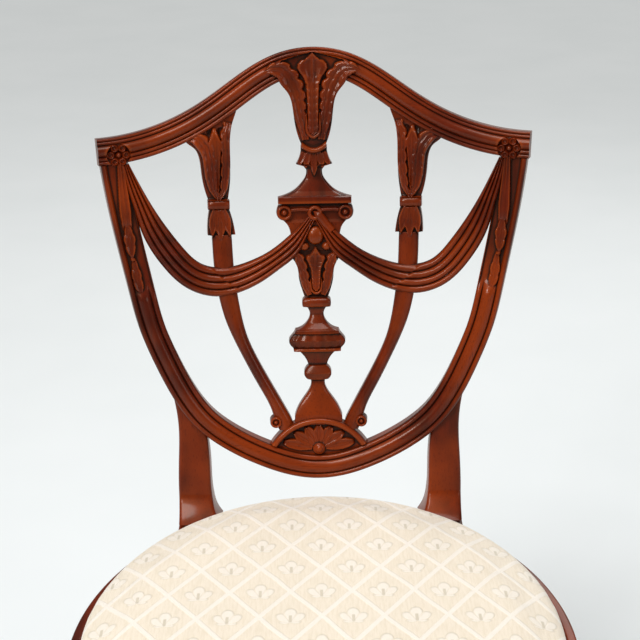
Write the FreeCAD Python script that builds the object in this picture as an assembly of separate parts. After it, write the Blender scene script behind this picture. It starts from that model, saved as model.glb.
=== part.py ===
import FreeCAD, Part
import math
import os
from FreeCAD import Matrix, Vector

# A shield back dining chair in carved hardwood with a lift-out upholstered seat.
# Millimetres. X is across the chair, -Y is the way the sitter faces, Z is up.

# Seat rails and the seat's plan
RAIL_TOP = 465.0
RAIL_DEPTH = 66.0
RAIL_THICKNESS = 28.0
SEAT_HALF_WIDTH = 262.0
SEAT_BACK_REACH = 284.0
SEAT_WIDEST_Y = -228.0
SEAT_FRONT_Y = -452.0
SIDE_SWEEP_RADIUS = 830.0
FRONT_BOW_RADIUS = 640.0
FRONT_CORNER_RADIUS = 26.0

# The rebate that the lift-out seat drops into
RIM_WIDTH = 10.5
REBATE_DEPTH = 18.0

# The shield back: a board bowed about an upright axis and leaned backwards
BACK_Z = 500.0
BACK_LEAN = 12.6
BACK_BOW = 30.0
BACK_HALF_WIDTH = 240.5
BOARD_THICKNESS = 20.0
BACK_ROUND = 4.0
CREST_WIDTH = 30.0
CREST_MEMBERS = (3.6, 4.2, 12.6, 4.8, 4.8)
CREST_CROWNS = (2.2, 2.4, 5.4, 2.6, 2.6)
STILE_WIDTH = 28.0
STILE_MEMBERS = (6.0, 15.5, 6.5)
STILE_CROWNS = (3.0, 5.2, 3.2)
VALLEY = 0.6
REED_CHORDS = 3

# Curves are drawn with chords that lie this close to them
CHORD_ERROR = 0.25

# Outlines of the shield in the board's own plane: across, up from BACK_Z
CREST_LINE = ((0, 519.5), (34, 514.7), (69, 498.8), (106, 473.3), (143, 450), (200, 428.6),
              (BACK_HALF_WIDTH, 423))
STILE_LINE = ((BACK_HALF_WIDTH, 423), (231, 350), (212, 250), (200.5, 200), (187.5, 165), (167.5, 122),
              (143, 86), (112, 59.6), (69.5, 36), (24, 20.9), (0, 18.6))
BASE_JOINT_U = 118.0

# Carving on the crest rail: (u, w) corners of the leaves, and the corner flowers
ACANTHUS_MIDDLE = ((-9, 484), (-17, 497), (-15, 503), (-8, 506), (0, 513), (8, 506), (15, 503), (17, 497), (9, 484))
ACANTHUS_SIDE = ((15, 484), (24, 499), (36, 503), (52, 492), (41, 489), (30, 481.5))
LEAF_SUNK = -8.0
LEAF_PROUD = 1.0
ROSETTE_U = 217.7
ROSETTE_W = 408.6
ROSETTE_RADIUS = 10.5
ROSETTE_PETALS = 6

# Rear legs: the post behind the shield as (height on the board, inner side, outer side, thickness)
POST_STATIONS = ((118, 141, 168, 13), (86, 133, 164.3, 19), (39, 128.7, 165.8, 29), (0, 127.5, 166.8, 33),
                 (-28, 123.5, 167, 36))
POST_SETBACK = 5.0
POST_CHAMFER = 4.0
REAR_HEAD_INNER_X = 124.0
REAR_HEAD_OUTER_X = 167.0
REAR_HEAD_FRONT_Y = -15.0
REAR_HEAD_BACK_Y = 48.0
REAR_SECTOR_INNER_X = 118.0
REAR_SECTOR_OUTER_X = 178.0
REAR_LEG_SIZE = 38.0
REAR_FOOT_SIZE = 27.0
REAR_FOOT_X = 152.0
REAR_FOOT_RAKE = 92.0
REAR_SWEEP_POWER = 1.8

# Front legs
FRONT_LEG_X = 226.0
FRONT_LEG_Y = -398.0
FRONT_LEG_HEAD = 46.0
FRONT_LEG_TOP = 40.0
FRONT_LEG_ANKLE = 25.0
SPADE_WIDTH = 35.0
SPADE_FOOT = 27.0
SPADE_HEIGHT = 76.0
SPADE_SHOULDER = 0.93
SPADE_CHEEK = 0.88
FLUTE_RADIUS = 2.6
FLUTE_PITCH = 9.4
FLUTE_OUT = 0.8
FLUTE_STOP = 25.0
PATERA_RADIUS = 16.0
PATERA_PETALS = 8
PATERA_RELIEF = 3.0

# Joints
JOINT_GAP = 0.2
TENON_THICKNESS = 9.0
TENON_LENGTH = 22.0
TENON_SHOULDER = 10.0
DOWEL_RADIUS = 4.0
DOWEL_LENGTH = 34.0
STILE_TENON_U = 222.0
STILE_TENON_HALF = 8.0
STILE_TENON_LOW = 388.0
STILE_TENON_HIGH = 408.0

# Corner blocks and their screws
BLOCK_SIZE = 60.0
BLOCK_HEIGHT = 40.0
BLOCK_RISE = 4.0
BLOCK_DEPTH = 25.0
SCREW_RADIUS = 2.2
SCREW_HEAD_RADIUS = 4.2
SCREW_LENGTH = 38.0
SCREW_OFFSET = 32.0
SCREW_SPREAD = 18.0
SCREW_SUNK = 5.0

# Splats, measured in the board's plane
SPLAT_BACK = -16.0
SIDE_SPLAT_U = 109.0
RIB_FRONT = -2.0
SWAG_SWELL = 7.0
LUNETTE_RADIUS = 66.6
LUNETTE_TOP_W = 92.3
LUNETTE_BEAD = 8.4
SCROLL_RADIUS = 7.2
SCROLL_U = 51.0
SCROLL_W = 87.5
LUNETTE_FRONT = 4.5
LUNETTE_FIELD = -2.0
LUNETTE_CENTRE_W = 50.0
LUNETTE_PETALS = 7
LUNETTE_SPREAD = 156.0
LUNETTE_BOSS = 7.5

# Lift-out seat
SEAT_CLEARANCE = 1.5
LAY_GAP = 0.3
COVER_THICKNESS = 1.2
FRAME_THICKNESS = 16.5
FRAME_OPENING_X = 165.0
FRAME_OPENING_REAR_Y = -70.0
FRAME_OPENING_FRONT_Y = -385.0
WEB_WIDTH = 50.0
WEB_COUNT = 3
WEB_THICKNESS = 1.2
HESSIAN_THICKNESS = 1.0
CUSHION_LEVELS = ((8.0, -0.5), (19.0, 5.0), (27.5, 28.0), (33.0, 100.0), (35.0, 200.0))
TURN_UNDER = 30.0
WEB_GRIP = 26.0
CLOTH_ROOM = 5.0
DUST_INSET = 30.5
DUST_THICKNESS = 0.9
TACK_COUNT = 14
TACK_HEAD = 2.4
TACK_SHANK = 0.7
TACK_LENGTH = 9.0

pieces = {}


def keep(name, shape):
    """Store one finished piece under its node name."""
    pieces[name] = shape


def keep_pair(name, right):
    """Store a piece of the chair's +X side and its mirror image."""
    keep(name + "_right", right)
    keep(name + "_left", mirrored(right))


def mirrored(shape):
    """The same piece on the other side of the chair."""
    return shape.mirror(Vector(0, 0, 0), Vector(1, 0, 0))


def edge_through(points):
    """A straight edge for two points, an arc for three, a smooth curve for more."""
    if len(points) == 2:
        return Part.LineSegment(points[0], points[1]).toShape()
    if len(points) == 3:
        return Part.Arc(*points).toShape()
    curve = Part.BSplineCurve()
    curve.interpolate(points)
    return curve.toShape()


def wire_of(groups):
    """A wire from runs of points. Each run starts where the last one ended."""
    return Part.Wire([edge_through(group) for group in groups])


def even_stops(first, last, count):
    """Evenly spaced values from first to last."""
    return [first + (last - first) * i / (count - 1.0) for i in range(count)]


def box_between(low, high):
    """A box from its lowest to its highest corner."""
    size = high - low
    return Part.makeBox(size.x, size.y, size.z, low)


# Places on the bowed, leaning board

def bow_radius():
    """The radius of the back's curve in plan."""
    return (BACK_HALF_WIDTH ** 2 + BACK_BOW ** 2) / (2.0 * BACK_BOW)


def bow_y(u):
    """How far behind the board's corners its face lies at u."""
    radius = bow_radius()
    return BACK_BOW - radius + math.sqrt(radius ** 2 - u ** 2)


def on_board(u, w, n=0.0):
    """A point n in front of the board's face, before the lean."""
    slope = u / bow_radius()
    return Vector(u - n * slope, bow_y(u) - n * math.sqrt(1.0 - slope ** 2), w)


def leaned(shape):
    """Lean a piece of the back and set it at its height."""
    turned = shape.copy()
    turned.rotate(Vector(0, 0, 0), Vector(1, 0, 0), -BACK_LEAN)
    turned.translate(Vector(0, 0, BACK_Z))
    return turned


def curved_board(back, front, low, high):
    """The bowed board between two depths and two heights."""
    radius = bow_radius()
    axis = Vector(0, BACK_BOW - radius, low)
    outer = Part.makeCylinder(radius - back, high - low, axis)
    inner = Part.makeCylinder(radius - front, high - low, axis)
    return outer.cut(inner)


def ring_of_chords(centre, way, radius, sides):
    """A circle drawn with straight chords round centre, square to way."""
    first = Vector(0, 0, 1).cross(way).normalize()
    second = way.cross(first).normalize()
    points = []
    for i in range(sides):
        angle = 2.0 * math.pi * (i + 0.5) / sides
        points.append(centre + first * (radius * math.cos(angle)) + second * (radius * math.sin(angle)))
    return Part.makePolygon(points + points[:1])


def pin(start, way, radius, length, far_radius=None):
    """A round pin, disc or shank, drawn with chords that stay close to its circle."""
    far = radius if far_radius is None else far_radius
    way = Vector(way).normalize()
    sides = max(8, math.ceil(math.pi / math.acos(1.0 - CHORD_ERROR / max(radius, far))))
    ends = [ring_of_chords(start, way, radius, sides), ring_of_chords(start + way * length, way, far, sides)]
    return faceted(ends)


def chorded(wire):
    """The corner points of a closed outline, with its curves turned into short chords."""
    runs = [edge.discretize(Deflection=CHORD_ERROR) for edge in wire.OrderedEdges]
    if min((runs[0][0] - end).Length for end in (runs[1][0], runs[1][-1])) < 0.001:
        runs[0].reverse()
    points = list(runs[0])
    for run in runs[1:]:
        if (run[-1] - points[-1]).Length < (run[0] - points[-1]).Length:
            run.reverse()
        points += run
    return points


def outline_face(runs):
    """A flat face in front of the board from (u, w) runs."""
    in_front = -90.0
    points = [[Vector(u, in_front, w) for u, w in run] for run in runs]
    return Part.Face(closed_polygon(chorded(wire_of(points))))


def sawn(runs, back, front):
    """Saw an outline given as (u, w) runs out of the bowed board."""
    blank = outline_face(runs).extrude(Vector(0, 260, 0))
    box = blank.BoundBox
    return blank.common(curved_board(back, front, box.ZMin - 1, box.ZMax + 1))


def outline_curve(line):
    """A smooth symmetrical outline through the points of its +X half."""
    half = sorted(line, key=lambda point: -point[0])
    other = [(-u, w) for u, w in reversed(half) if u > 0]
    curve = Part.BSplineCurve()
    curve.interpolate([Vector(u, 0, w) for u, w in half + other])
    return curve


def section_plane(first, last):
    """A function that places points between two outline points, square to the board.

    Its first value runs from 0 at the first point to 1 at the last. Its second stands out of the board.
    """
    middle = (first + last) * 0.5
    slope = middle.x / bow_radius()
    out = Vector(-slope, -math.sqrt(1.0 - slope ** 2), 0)
    across = last - first
    across = across - out * across.dot(out)
    centre = on_board(middle.x, middle.z)

    def at(share, n):
        return centre + across * (share - 0.5) + out * n

    return at


def reed_points(at, start, end, low, crown):
    """Round one member of a moulding from start to end with short chords."""
    points = []
    for i in range(REED_CHORDS + 1):
        share = i / float(REED_CHORDS)
        rise = math.sin(math.pi * share)
        points.append(at(start + (end - start) * share, low + (crown - low) * rise))
    return points


def flat_faces(corners):
    """One flat face through four corners, or two where they don't lie in a plane."""
    across = (corners[1] - corners[0]).cross(corners[2] - corners[0])
    if across.Length > 0 and abs(across.normalize().dot(corners[3] - corners[0])) < 1e-6:
        return [Part.Face(Part.makePolygon(corners + corners[:1]))]
    first, last = corners[:3], [corners[0], corners[2], corners[3]]
    return [Part.Face(Part.makePolygon(three + three[:1])) for three in (first, last)]


def faceted(rings):
    """A solid of flat faces through closed rings that have the same number of corners."""
    rows = [[vertex.Point for vertex in ring.OrderedVertexes] for ring in rings]
    faces = [Part.Face(Part.makePolygon(row + row[:1])) for row in (rows[0], rows[-1])]
    for low, high in zip(rows, rows[1:]):
        for i in range(len(low)):
            faces += flat_faces([low[i - 1], low[i], high[i], high[i - 1]])
    solid = Part.Solid(Part.Shell(faces))
    return solid.reversed() if solid.Volume < 0 else solid


def closed_polygon(points):
    """A closed wire of straight edges, leaving out repeated points."""
    kept = [points[0]]
    for point in points[1:]:
        if (point - kept[-1]).Length > 0.001:
            kept.append(point)
    if (kept[0] - kept[-1]).Length < 0.001:
        kept.pop()
    return Part.makePolygon(kept + [kept[0]])


def moulded_section(point, inward, members, crowns, width):
    """One section of a moulding that starts at an outline point and runs inward."""
    at = section_plane(point, point + inward * width)
    corners = []
    start = 0.0
    for member, crown in zip(members, crowns):
        end = start + member / sum(members)
        corners += reed_points(at, start, end, VALLEY, crown)
        start = end
    back = -BOARD_THICKNESS
    edge = BACK_ROUND / width
    corners += [at(1, back + BACK_ROUND), at(1 - edge, back), at(edge, back), at(0, back + BACK_ROUND)]
    return closed_polygon(corners)


def moulded_rail(curve, stops, members, crowns, width):
    """Loft a moulding along an outline, through a section at each stop."""
    middle_of_shield = Vector(0, 0, 260)
    sections = []
    for stop in stops:
        point = curve.value(stop)
        along = curve.tangent(stop)[0]
        inward = Vector(-along.z, 0, along.x).normalize()
        if inward.dot(middle_of_shield - point) < 0:
            inward = inward * -1.0
        sections.append(moulded_section(point, inward, members, crowns, width))
    return faceted(sections)


# The seat's plan

def plan_outline():
    """The outer line of the seat rails as a wire at z = 0."""
    stretch = Matrix()
    stretch.scale(1.0, SEAT_BACK_REACH / SEAT_HALF_WIDTH, 1.0)
    stretch.move(Vector(0, SEAT_WIDEST_Y, 0))
    start = Vector(SEAT_HALF_WIDTH, 0, 0)
    half_circle = Part.Arc(start, Vector(0, SEAT_HALF_WIDTH, 0), -start).toShape()
    back = half_circle.transformGeometry(stretch)
    past_front = SEAT_FRONT_Y - 60.0
    whole_angle = math.asin((SEAT_WIDEST_Y - past_front) / SIDE_SWEEP_RADIUS)

    def side_point(angle, side):
        x = SEAT_HALF_WIDTH - SIDE_SWEEP_RADIUS * (1 - math.cos(angle))
        return Vector(side * x, SEAT_WIDEST_Y - SIDE_SWEEP_RADIUS * math.sin(angle), 0)

    edges = [back]
    for side in (1, -1):
        stops = [side_point(whole_angle * share, side) for share in (0.0, 0.5, 1.0)]
        edges.append(Part.Arc(*stops).toShape())
    edges.append(edge_through([side_point(whole_angle, 1), side_point(whole_angle, -1)]))
    sides = Part.Face(Part.Wire(Part.__sortEdges__(edges))).extrude(Vector(0, 0, 1))
    bow_centre = Vector(0, SEAT_FRONT_Y + FRONT_BOW_RADIUS, 0)
    body = sides.common(Part.makeCylinder(FRONT_BOW_RADIUS, 1, bow_centre))
    corners = [edge for edge in body.Edges
               if edge.BoundBox.ZLength > 0.5 and edge.CenterOfMass.y < SEAT_WIDEST_Y - 50]
    body = body.makeFillet(FRONT_CORNER_RADIUS, corners)
    floor = min(body.Faces, key=lambda face: face.CenterOfMass.z)
    return floor.OuterWire


def symmetrical(points):
    """The seat's outline rebuilt from its +X half, so that both sides match."""
    half = sorted((p for p in points if p.x > 0.01), key=lambda p: math.atan2(p.x, p.y - SEAT_WIDEST_Y))
    rear, front = Vector(0, SEAT_WIDEST_Y + SEAT_BACK_REACH, 0), Vector(0, SEAT_FRONT_Y, 0)
    return [rear] + half + [front] + [Vector(-p.x, p.y, p.z) for p in reversed(half)]


PLAN = symmetrical([Vector(p.x, p.y, 0) for p in chorded(plan_outline())])
PLAN_MIDDLE_Y = (SEAT_WIDEST_Y + SEAT_BACK_REACH + SEAT_FRONT_Y) / 2.0
PLAN_HALF_DEPTH = (SEAT_WIDEST_Y + SEAT_BACK_REACH - SEAT_FRONT_Y) / 2.0
RAIL_BOTTOM = RAIL_TOP - RAIL_DEPTH
REBATE_FLOOR = RAIL_TOP - REBATE_DEPTH


def seat_curve(inset, z):
    """The seat's plan drawn in by inset on every side, at height z."""
    across = (SEAT_HALF_WIDTH - inset) / SEAT_HALF_WIDTH
    along = (PLAN_HALF_DEPTH - inset) / PLAN_HALF_DEPTH
    points = [Vector(p.x * across, PLAN_MIDDLE_Y + (p.y - PLAN_MIDDLE_Y) * along, z) for p in PLAN]
    return closed_polygon(points)


def seat_slab(inset, low, high):
    """A flat slab of the seat's plan between two heights."""
    return Part.Face(seat_curve(inset, low)).extrude(Vector(0, 0, high - low))


def plan_prism(corners, low, high):
    """A straight-sided prism from plan corners."""
    points = [Vector(x, y, low) for x, y in corners]
    edges = [edge_through([points[i - 1], points[i]]) for i in range(len(points))]
    return Part.Face(Part.Wire(edges)).extrude(Vector(0, 0, high - low))


def back_angle(x):
    """The angle from the middle of the seat to the rear outline at x."""
    return math.asin(x / SEAT_HALF_WIDTH)


def back_place(angle, inset):
    """A point on the rear outline, drawn in by inset."""
    return Vector((SEAT_HALF_WIDTH - inset) * math.sin(angle),
                  SEAT_WIDEST_Y + (SEAT_BACK_REACH - inset) * math.cos(angle), 0)


def back_sector(first, last, low, high):
    """The wedge of plan between two angles at the rear."""
    far = 1.6
    corners = [(0, SEAT_WIDEST_Y)]
    for angle in (first, last):
        point = back_place(angle, 0)
        corners.append((point.x * far, SEAT_WIDEST_Y + (point.y - SEAT_WIDEST_Y) * far))
    return plan_prism(corners, low, high)


def plan_tenon(point, along, grow):
    """A tenon that starts at a point and runs along a plan direction."""
    angle = math.degrees(math.atan2(along.y, along.x))
    length = TENON_LENGTH + grow
    wide = TENON_THICKNESS + 2 * grow
    low = RAIL_BOTTOM + TENON_SHOULDER - grow
    tall = RAIL_DEPTH - REBATE_DEPTH - 2 * TENON_SHOULDER + 2 * grow + 10.0
    root = 1.0
    box = Part.makeBox(length + root, wide, tall, Vector(-root, -wide / 2.0, low))
    box.rotate(Vector(0, 0, 0), Vector(0, 0, 1), angle)
    box.translate(Vector(point.x, point.y, 0))
    return box


def square_section(x, y, z, size, depth=None, chamfer=0.0):
    """A level rectangle, with chamfered corners where asked."""
    half_x = size / 2.0
    half_y = (depth or size) / 2.0
    c = chamfer
    outline = [(-half_x + c, -half_y), (half_x - c, -half_y), (half_x, -half_y + c), (half_x, half_y - c),
               (half_x - c, half_y), (-half_x + c, half_y), (-half_x, half_y - c), (-half_x, -half_y + c)]
    if c == 0:
        outline = [(-half_x, -half_y), (half_x, -half_y), (half_x, half_y), (-half_x, half_y)]
    points = [Vector(x + dx, y + dy, z) for dx, dy in outline]
    return Part.makePolygon(points + points[:1])


# The frame of the shield

def stop_where(curve, reached):
    """The first place along a curve where a test turns true."""
    low, high = curve.FirstParameter, (curve.FirstParameter + curve.LastParameter) / 2.0
    for _ in range(60):
        middle = (low + high) / 2.0
        if reached(curve.value(middle)):
            high = middle
        else:
            low = middle
    return high


CREST_CURVE = outline_curve(CREST_LINE)
STILE_CURVE = outline_curve(STILE_LINE)
STILE_START = stop_where(STILE_CURVE, lambda p: p.z < CREST_LINE[-1][1] - CREST_WIDTH)
BASE_START = stop_where(STILE_CURVE, lambda p: p.x < BASE_JOINT_U)
BASE_END = STILE_CURVE.LastParameter - (BASE_START - STILE_CURVE.FirstParameter)


def carved_leaf(points, back, front):
    """A leaf standing on the board, from straight-cut (u, w) corners."""
    runs = [[points[i - 1], points[i]] for i in range(len(points))]
    return sawn(runs, back, front)


def rosette(u, w, radius, petals, back, front):
    """A flower: round petals about a boss."""
    centre = on_board(u, w)
    way = Vector(0, -1, 0)
    petal_radius = radius * 0.36
    ring = radius - petal_radius
    flower = pin(centre - way * -back, way, radius * 0.34, front - back + 1.2)
    for i in range(petals):
        angle = 2 * math.pi * i / petals
        spot = centre + Vector(ring * math.sin(angle), 0, ring * math.cos(angle)) - way * -back
        flower = flower.fuse(pin(spot, way, petal_radius, front - back))
    return flower


def crest_rail():
    """The arched top rail, with its leaves and corner flowers cut in the solid."""
    stops = even_stops(CREST_CURVE.FirstParameter, CREST_CURVE.LastParameter, 22)
    rail = moulded_rail(CREST_CURVE, stops, CREST_MEMBERS, CREST_CROWNS, CREST_WIDTH)
    leaf_front = max(CREST_CROWNS) + LEAF_PROUD
    carving = [carved_leaf(ACANTHUS_MIDDLE, LEAF_SUNK, leaf_front)]
    for side in (1, -1):
        leaf = [(side * u, w) for u, w in ACANTHUS_SIDE]
        carving.append(carved_leaf(leaf, LEAF_SUNK, leaf_front - 0.6))
        carving.append(rosette(side * ROSETTE_U, ROSETTE_W, ROSETTE_RADIUS, ROSETTE_PETALS, LEAF_SUNK, leaf_front))
    return rail.multiFuse(carving).removeSplitter()


def board_section(w, inner, outer, front, thickness):
    """A level section across the board, with the post's chamfers."""
    middle = (inner + outer) / 2.0
    y = bow_y(middle) - front + thickness / 2.0
    return square_section(middle, y, w, outer - inner, thickness, min(POST_CHAMFER, thickness / 4.0))


def rear_leg_section(z):
    """A section of the rear leg below the rails."""
    share = (RAIL_BOTTOM - z) / RAIL_BOTTOM
    size = REAR_LEG_SIZE + (REAR_FOOT_SIZE - REAR_LEG_SIZE) * share
    top_x = (REAR_HEAD_INNER_X + REAR_HEAD_OUTER_X) / 2.0
    x = top_x + (REAR_FOOT_X - top_x) * share
    y = REAR_HEAD_BACK_Y - REAR_LEG_SIZE / 2.0 + REAR_FOOT_RAKE * share ** REAR_SWEEP_POWER
    return square_section(x, y, z, size, size, POST_CHAMFER)


def rear_upright():
    """Rear leg, post and shield side in one piece of wood."""
    stops = even_stops(STILE_START, BASE_START, 22)
    stile = leaned(moulded_rail(STILE_CURVE, stops, STILE_MEMBERS, STILE_CROWNS, STILE_WIDTH))
    sections = [board_section(w, inner, outer, -POST_SETBACK, thickness)
                for w, inner, outer, thickness in POST_STATIONS]
    post = leaned(faceted(sections))
    head = box_between(Vector(REAR_HEAD_INNER_X, REAR_HEAD_FRONT_Y, RAIL_BOTTOM),
                       Vector(REAR_HEAD_OUTER_X, REAR_HEAD_BACK_Y, RAIL_TOP))
    band = seat_slab(0, RAIL_BOTTOM, RAIL_TOP).cut(seat_slab(RAIL_THICKNESS, RAIL_BOTTOM, RAIL_TOP))
    inner, outer = back_angle(REAR_SECTOR_INNER_X), back_angle(REAR_SECTOR_OUTER_X)
    band = band.common(back_sector(inner, outer, RAIL_BOTTOM, RAIL_TOP))
    heights = even_stops(RAIL_BOTTOM, 0.0, 9)
    leg = faceted([rear_leg_section(z) for z in heights])
    upright = head.multiFuse([band, leg, post, stile])
    upright = upright.cut(seat_slab(RIM_WIDTH, REBATE_FLOOR, RAIL_TOP + 1.0))
    return upright.removeSplitter()


def base_dowel(radius, length):
    """The dowel across the joint of the base rail and an upright."""
    point = STILE_CURVE.value(BASE_START)
    along = STILE_CURVE.tangent(BASE_START)[0]
    inward = Vector(-along.z, 0, along.x).normalize()
    if inward.x > 0:
        inward = inward * -1.0
    middle = point + inward * (STILE_WIDTH / 2.0)
    centre = on_board(middle.x, middle.z, -BOARD_THICKNESS / 2.0)
    start = centre - along * (length / 2.0)
    return leaned(pin(start, along, radius, length))


# The splats. Each is a sawn outline cut again to a side profile, as a carver would.

def mirrored_runs(runs):
    """The full outline from the runs of its +X half, top to bottom."""
    other = [[(-u, w) for u, w in reversed(run)] for run in reversed(runs)]
    top = [(-runs[0][0][0], runs[0][0][1]), runs[0][0]]
    bottom = [runs[-1][-1], other[0][0]]
    return runs + [bottom] + other + [top]


def side_profile(stations, u):
    """A wide slab whose front follows (w, n) stations and whose back is flat."""
    front = bow_y(u)
    back = front - SPLAT_BACK
    reach = 160.0
    points = [Vector(u - reach, front - n, w) for w, n in stations]
    points += [Vector(u - reach, back, stations[-1][0]), Vector(u - reach, back, stations[0][0])]
    edges = [edge_through([points[i - 1], points[i]]) for i in range(len(points))]
    return Part.Face(Part.Wire(edges)).extrude(Vector(2 * reach, 0, 0))


CENTRE_CUP = [[(38.5, 492), (38, 483)],
              [(38, 483), (28, 469), (23.3, 455), (21.6, 441), (18.7, 425), (13.8, 411)],
              [(13.8, 411), (14.8, 410)], [(14.8, 410), (14.8, 403)],
              [(14.8, 403), (16.5, 397), (19.7, 389)], [(19.7, 389), (12, 386.5)], [(12, 386.5), (9, 382)],
              [(9, 382), (9.6, 375.5), (14.5, 367.5), (22.5, 359.5), (32, 354.4), (41.7, 351.5)],
              [(41.7, 351.5), (41.7, 344)], [(41.7, 344), (38, 342.4)],
              [(38, 342.4), (43.7, 333), (36.5, 325.2)],
              [(36.5, 325.2), (31, 319), (28.4, 311), (28.4, 285)],
              [(28.4, 285), (21.8, 273), (19.9, 259.5), (16.5, 245), (13, 235)]]
CENTRE_URN = [[(13, 235), (15.6, 233)], [(15.6, 233), (16.6, 228.5), (15.6, 224)], [(15.6, 224), (11.5, 222)],
              [(11.5, 222), (7.9, 215), (14.5, 202), (25, 197)], [(25, 197), (26.5, 193.5)],
              [(26.5, 193.5), (33, 185), (27.5, 175.5)], [(27.5, 175.5), (27.2, 171.8)],
              [(27.2, 171.8), (21, 169.6)], [(21, 169.6), (13.7, 162.5), (10.6, 154.5)],
              [(10.6, 154.5), (13, 152)], [(13, 152), (15.4, 145), (11.2, 137.4)], [(11.2, 137.4), (8.4, 136)],
              [(8.4, 136), (8.4, 130), (10.6, 124), (16.8, 114.7), (23.2, 104.6), (27.5, 94)],
              [(27.5, 94), (27.8, 70)]]
CENTRE_DEPTHS = ((492, 2), (470, 2.5), (430, 1), (411, -1), (410.5, 3), (403, 3), (402.5, 0), (390, 3.5),
                 (386.5, 3), (385, -4), (372, -5), (358, -1), (351.5, 4), (344, 4.5), (343.5, -1), (311, -1),
                 (290, -1), (283, 1.5), (250, 1), (235, -1.5), (234, 3), (223, 3), (222, -3), (215, -6),
                 (203, -1), (197, 4), (185, 6), (172, 4), (168, -1), (155, -3.5), (153, 2), (145, 3.5),
                 (137.5, 1.5), (136, -4.5), (124, -3), (96, 2), (70, 2))
SCROLL_CENTRES = (-34.8, 0.0, 34.8)
SCROLL_HEIGHT_W = 334.0
SCROLL_SIZE = 8.8
SPLAT_TENON_U = 11.0
SPLAT_TENON_RISE = 7.0


def board_peg(u, w, radius, back, front):
    """A round boss standing out of the board."""
    return pin(on_board(u, w) + Vector(0, -back, 0), Vector(0, -1, 0), radius, front - back)


def splat_tenon(u, w, half_width, grow):
    """The tenon on a splat's head, centred on (u, w)."""
    centre = on_board(u, w, SPLAT_BACK / 2.0)
    half = Vector(half_width + grow, TENON_THICKNESS / 2.0 + grow, SPLAT_TENON_RISE + grow)
    return box_between(centre - half, centre + half)


def lunette_disc(radius, back, front):
    """The disc that the lunette's arch belongs to."""
    return board_peg(0, LUNETTE_TOP_W - LUNETTE_RADIUS, radius, back, front)


def centre_splat(crest):
    """Leafed cup, plinth with scrolls, lower cup and urn, carved from one board."""
    outline = outline_face(mirrored_runs(CENTRE_CUP + CENTRE_URN)).extrude(Vector(0, 260, 0))
    splat = outline.common(side_profile(CENTRE_DEPTHS, 0))
    scrolls = [board_peg(u, SCROLL_HEIGHT_W, SCROLL_SIZE, SPLAT_BACK, 3.5) for u in SCROLL_CENTRES]
    splat = splat.multiFuse(scrolls)
    splat = splat.cut(lunette_disc(LUNETTE_RADIUS, SPLAT_BACK - 1, 8))
    splat = splat.cut(crest)
    pieces_left = sorted(splat.Solids, key=lambda solid: -solid.Volume)
    return pieces_left[0].fuse(splat_tenon(0, CENTRE_TENON_W, SPLAT_TENON_U, 0)).removeSplitter()


def crest_underside(u):
    """The height of the crest rail's lower edge at u."""
    inner = []
    for stop in even_stops(CREST_CURVE.FirstParameter, CREST_CURVE.LastParameter, 200):
        point, along = CREST_CURVE.value(stop), CREST_CURVE.tangent(stop)[0]
        drop = CREST_WIDTH / abs(along.x) if abs(along.x) > 0.3 else CREST_WIDTH
        inner.append((abs(point.x - u), point.z - drop))
    return min(inner)[1]


CENTRE_TENON_W = crest_underside(0)
SIDE_TENON_U = 111.0
SIDE_TENON_W = crest_underside(SIDE_TENON_U) + 2.0
SIDE_TENON_HALF = 7.0

SIDE_CUP = [[(146, 424), (143, 416.5)],
            [(143, 416.5), (134, 409), (128.8, 398), (127, 383), (125, 368), (120.2, 350.2)],
            [(120.2, 350.2), (120.8, 349.2)], [(120.8, 349.2), (120.8, 339.8)], [(120.8, 339.8), (119.4, 337.5)],
            [(119.4, 337.5), (121.9, 322), (122.1, 310.5)], [(122.1, 310.5), (117.4, 309)],
            [(117.4, 309), (116.1, 276), (111.8, 240), (106.8, 216), (98.4, 190), (51.7, 98)],
            [(51.7, 98), (44, 82)], [(44, 82), (21, 82)], [(21, 82), (29, 95.2)],
            [(29, 95.2), (77.6, 190), (85.6, 216), (90.5, 242), (94, 276), (95.3, 308)],
            [(95.3, 308), (91, 309.5)], [(91, 309.5), (92.2, 323.4), (97.2, 337.5)],
            [(97.2, 337.5), (96.8, 339.8)], [(96.8, 339.8), (96.8, 349.2)], [(96.8, 349.2), (98.4, 350.2)],
            [(98.4, 350.2), (95.2, 372), (94.5, 405), (91.5, 435), (86, 451)], [(86, 451), (84, 460)],
            [(84, 460), (146, 424)]]
SIDE_DEPTHS = ((462, 1.5), (400, 1), (352, -1), (349.5, 3), (339.5, 3), (338.5, 0), (312, 2.5), (308, 2),
               (306, RIB_FRONT), (80, RIB_FRONT))


def side_splat(crest):
    """A leafed cup on a long rib that sweeps in to the lunette."""
    outline = outline_face(SIDE_CUP).extrude(Vector(0, 260, 0))
    splat = outline.common(side_profile(SIDE_DEPTHS, SIDE_SPLAT_U))
    splat = splat.fuse(board_peg(SCROLL_U, SCROLL_W, SCROLL_RADIUS, SPLAT_BACK, 1.0))
    splat = splat.cut(lunette_disc(LUNETTE_RADIUS, SPLAT_BACK - 8, 8))
    splat = splat.cut(crest)
    pieces_left = sorted(splat.Solids, key=lambda solid: -solid.Volume)
    tenon = splat_tenon(SIDE_TENON_U, SIDE_TENON_W, SIDE_TENON_HALF, 0)
    return pieces_left[0].fuse(tenon).removeSplitter()


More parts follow.
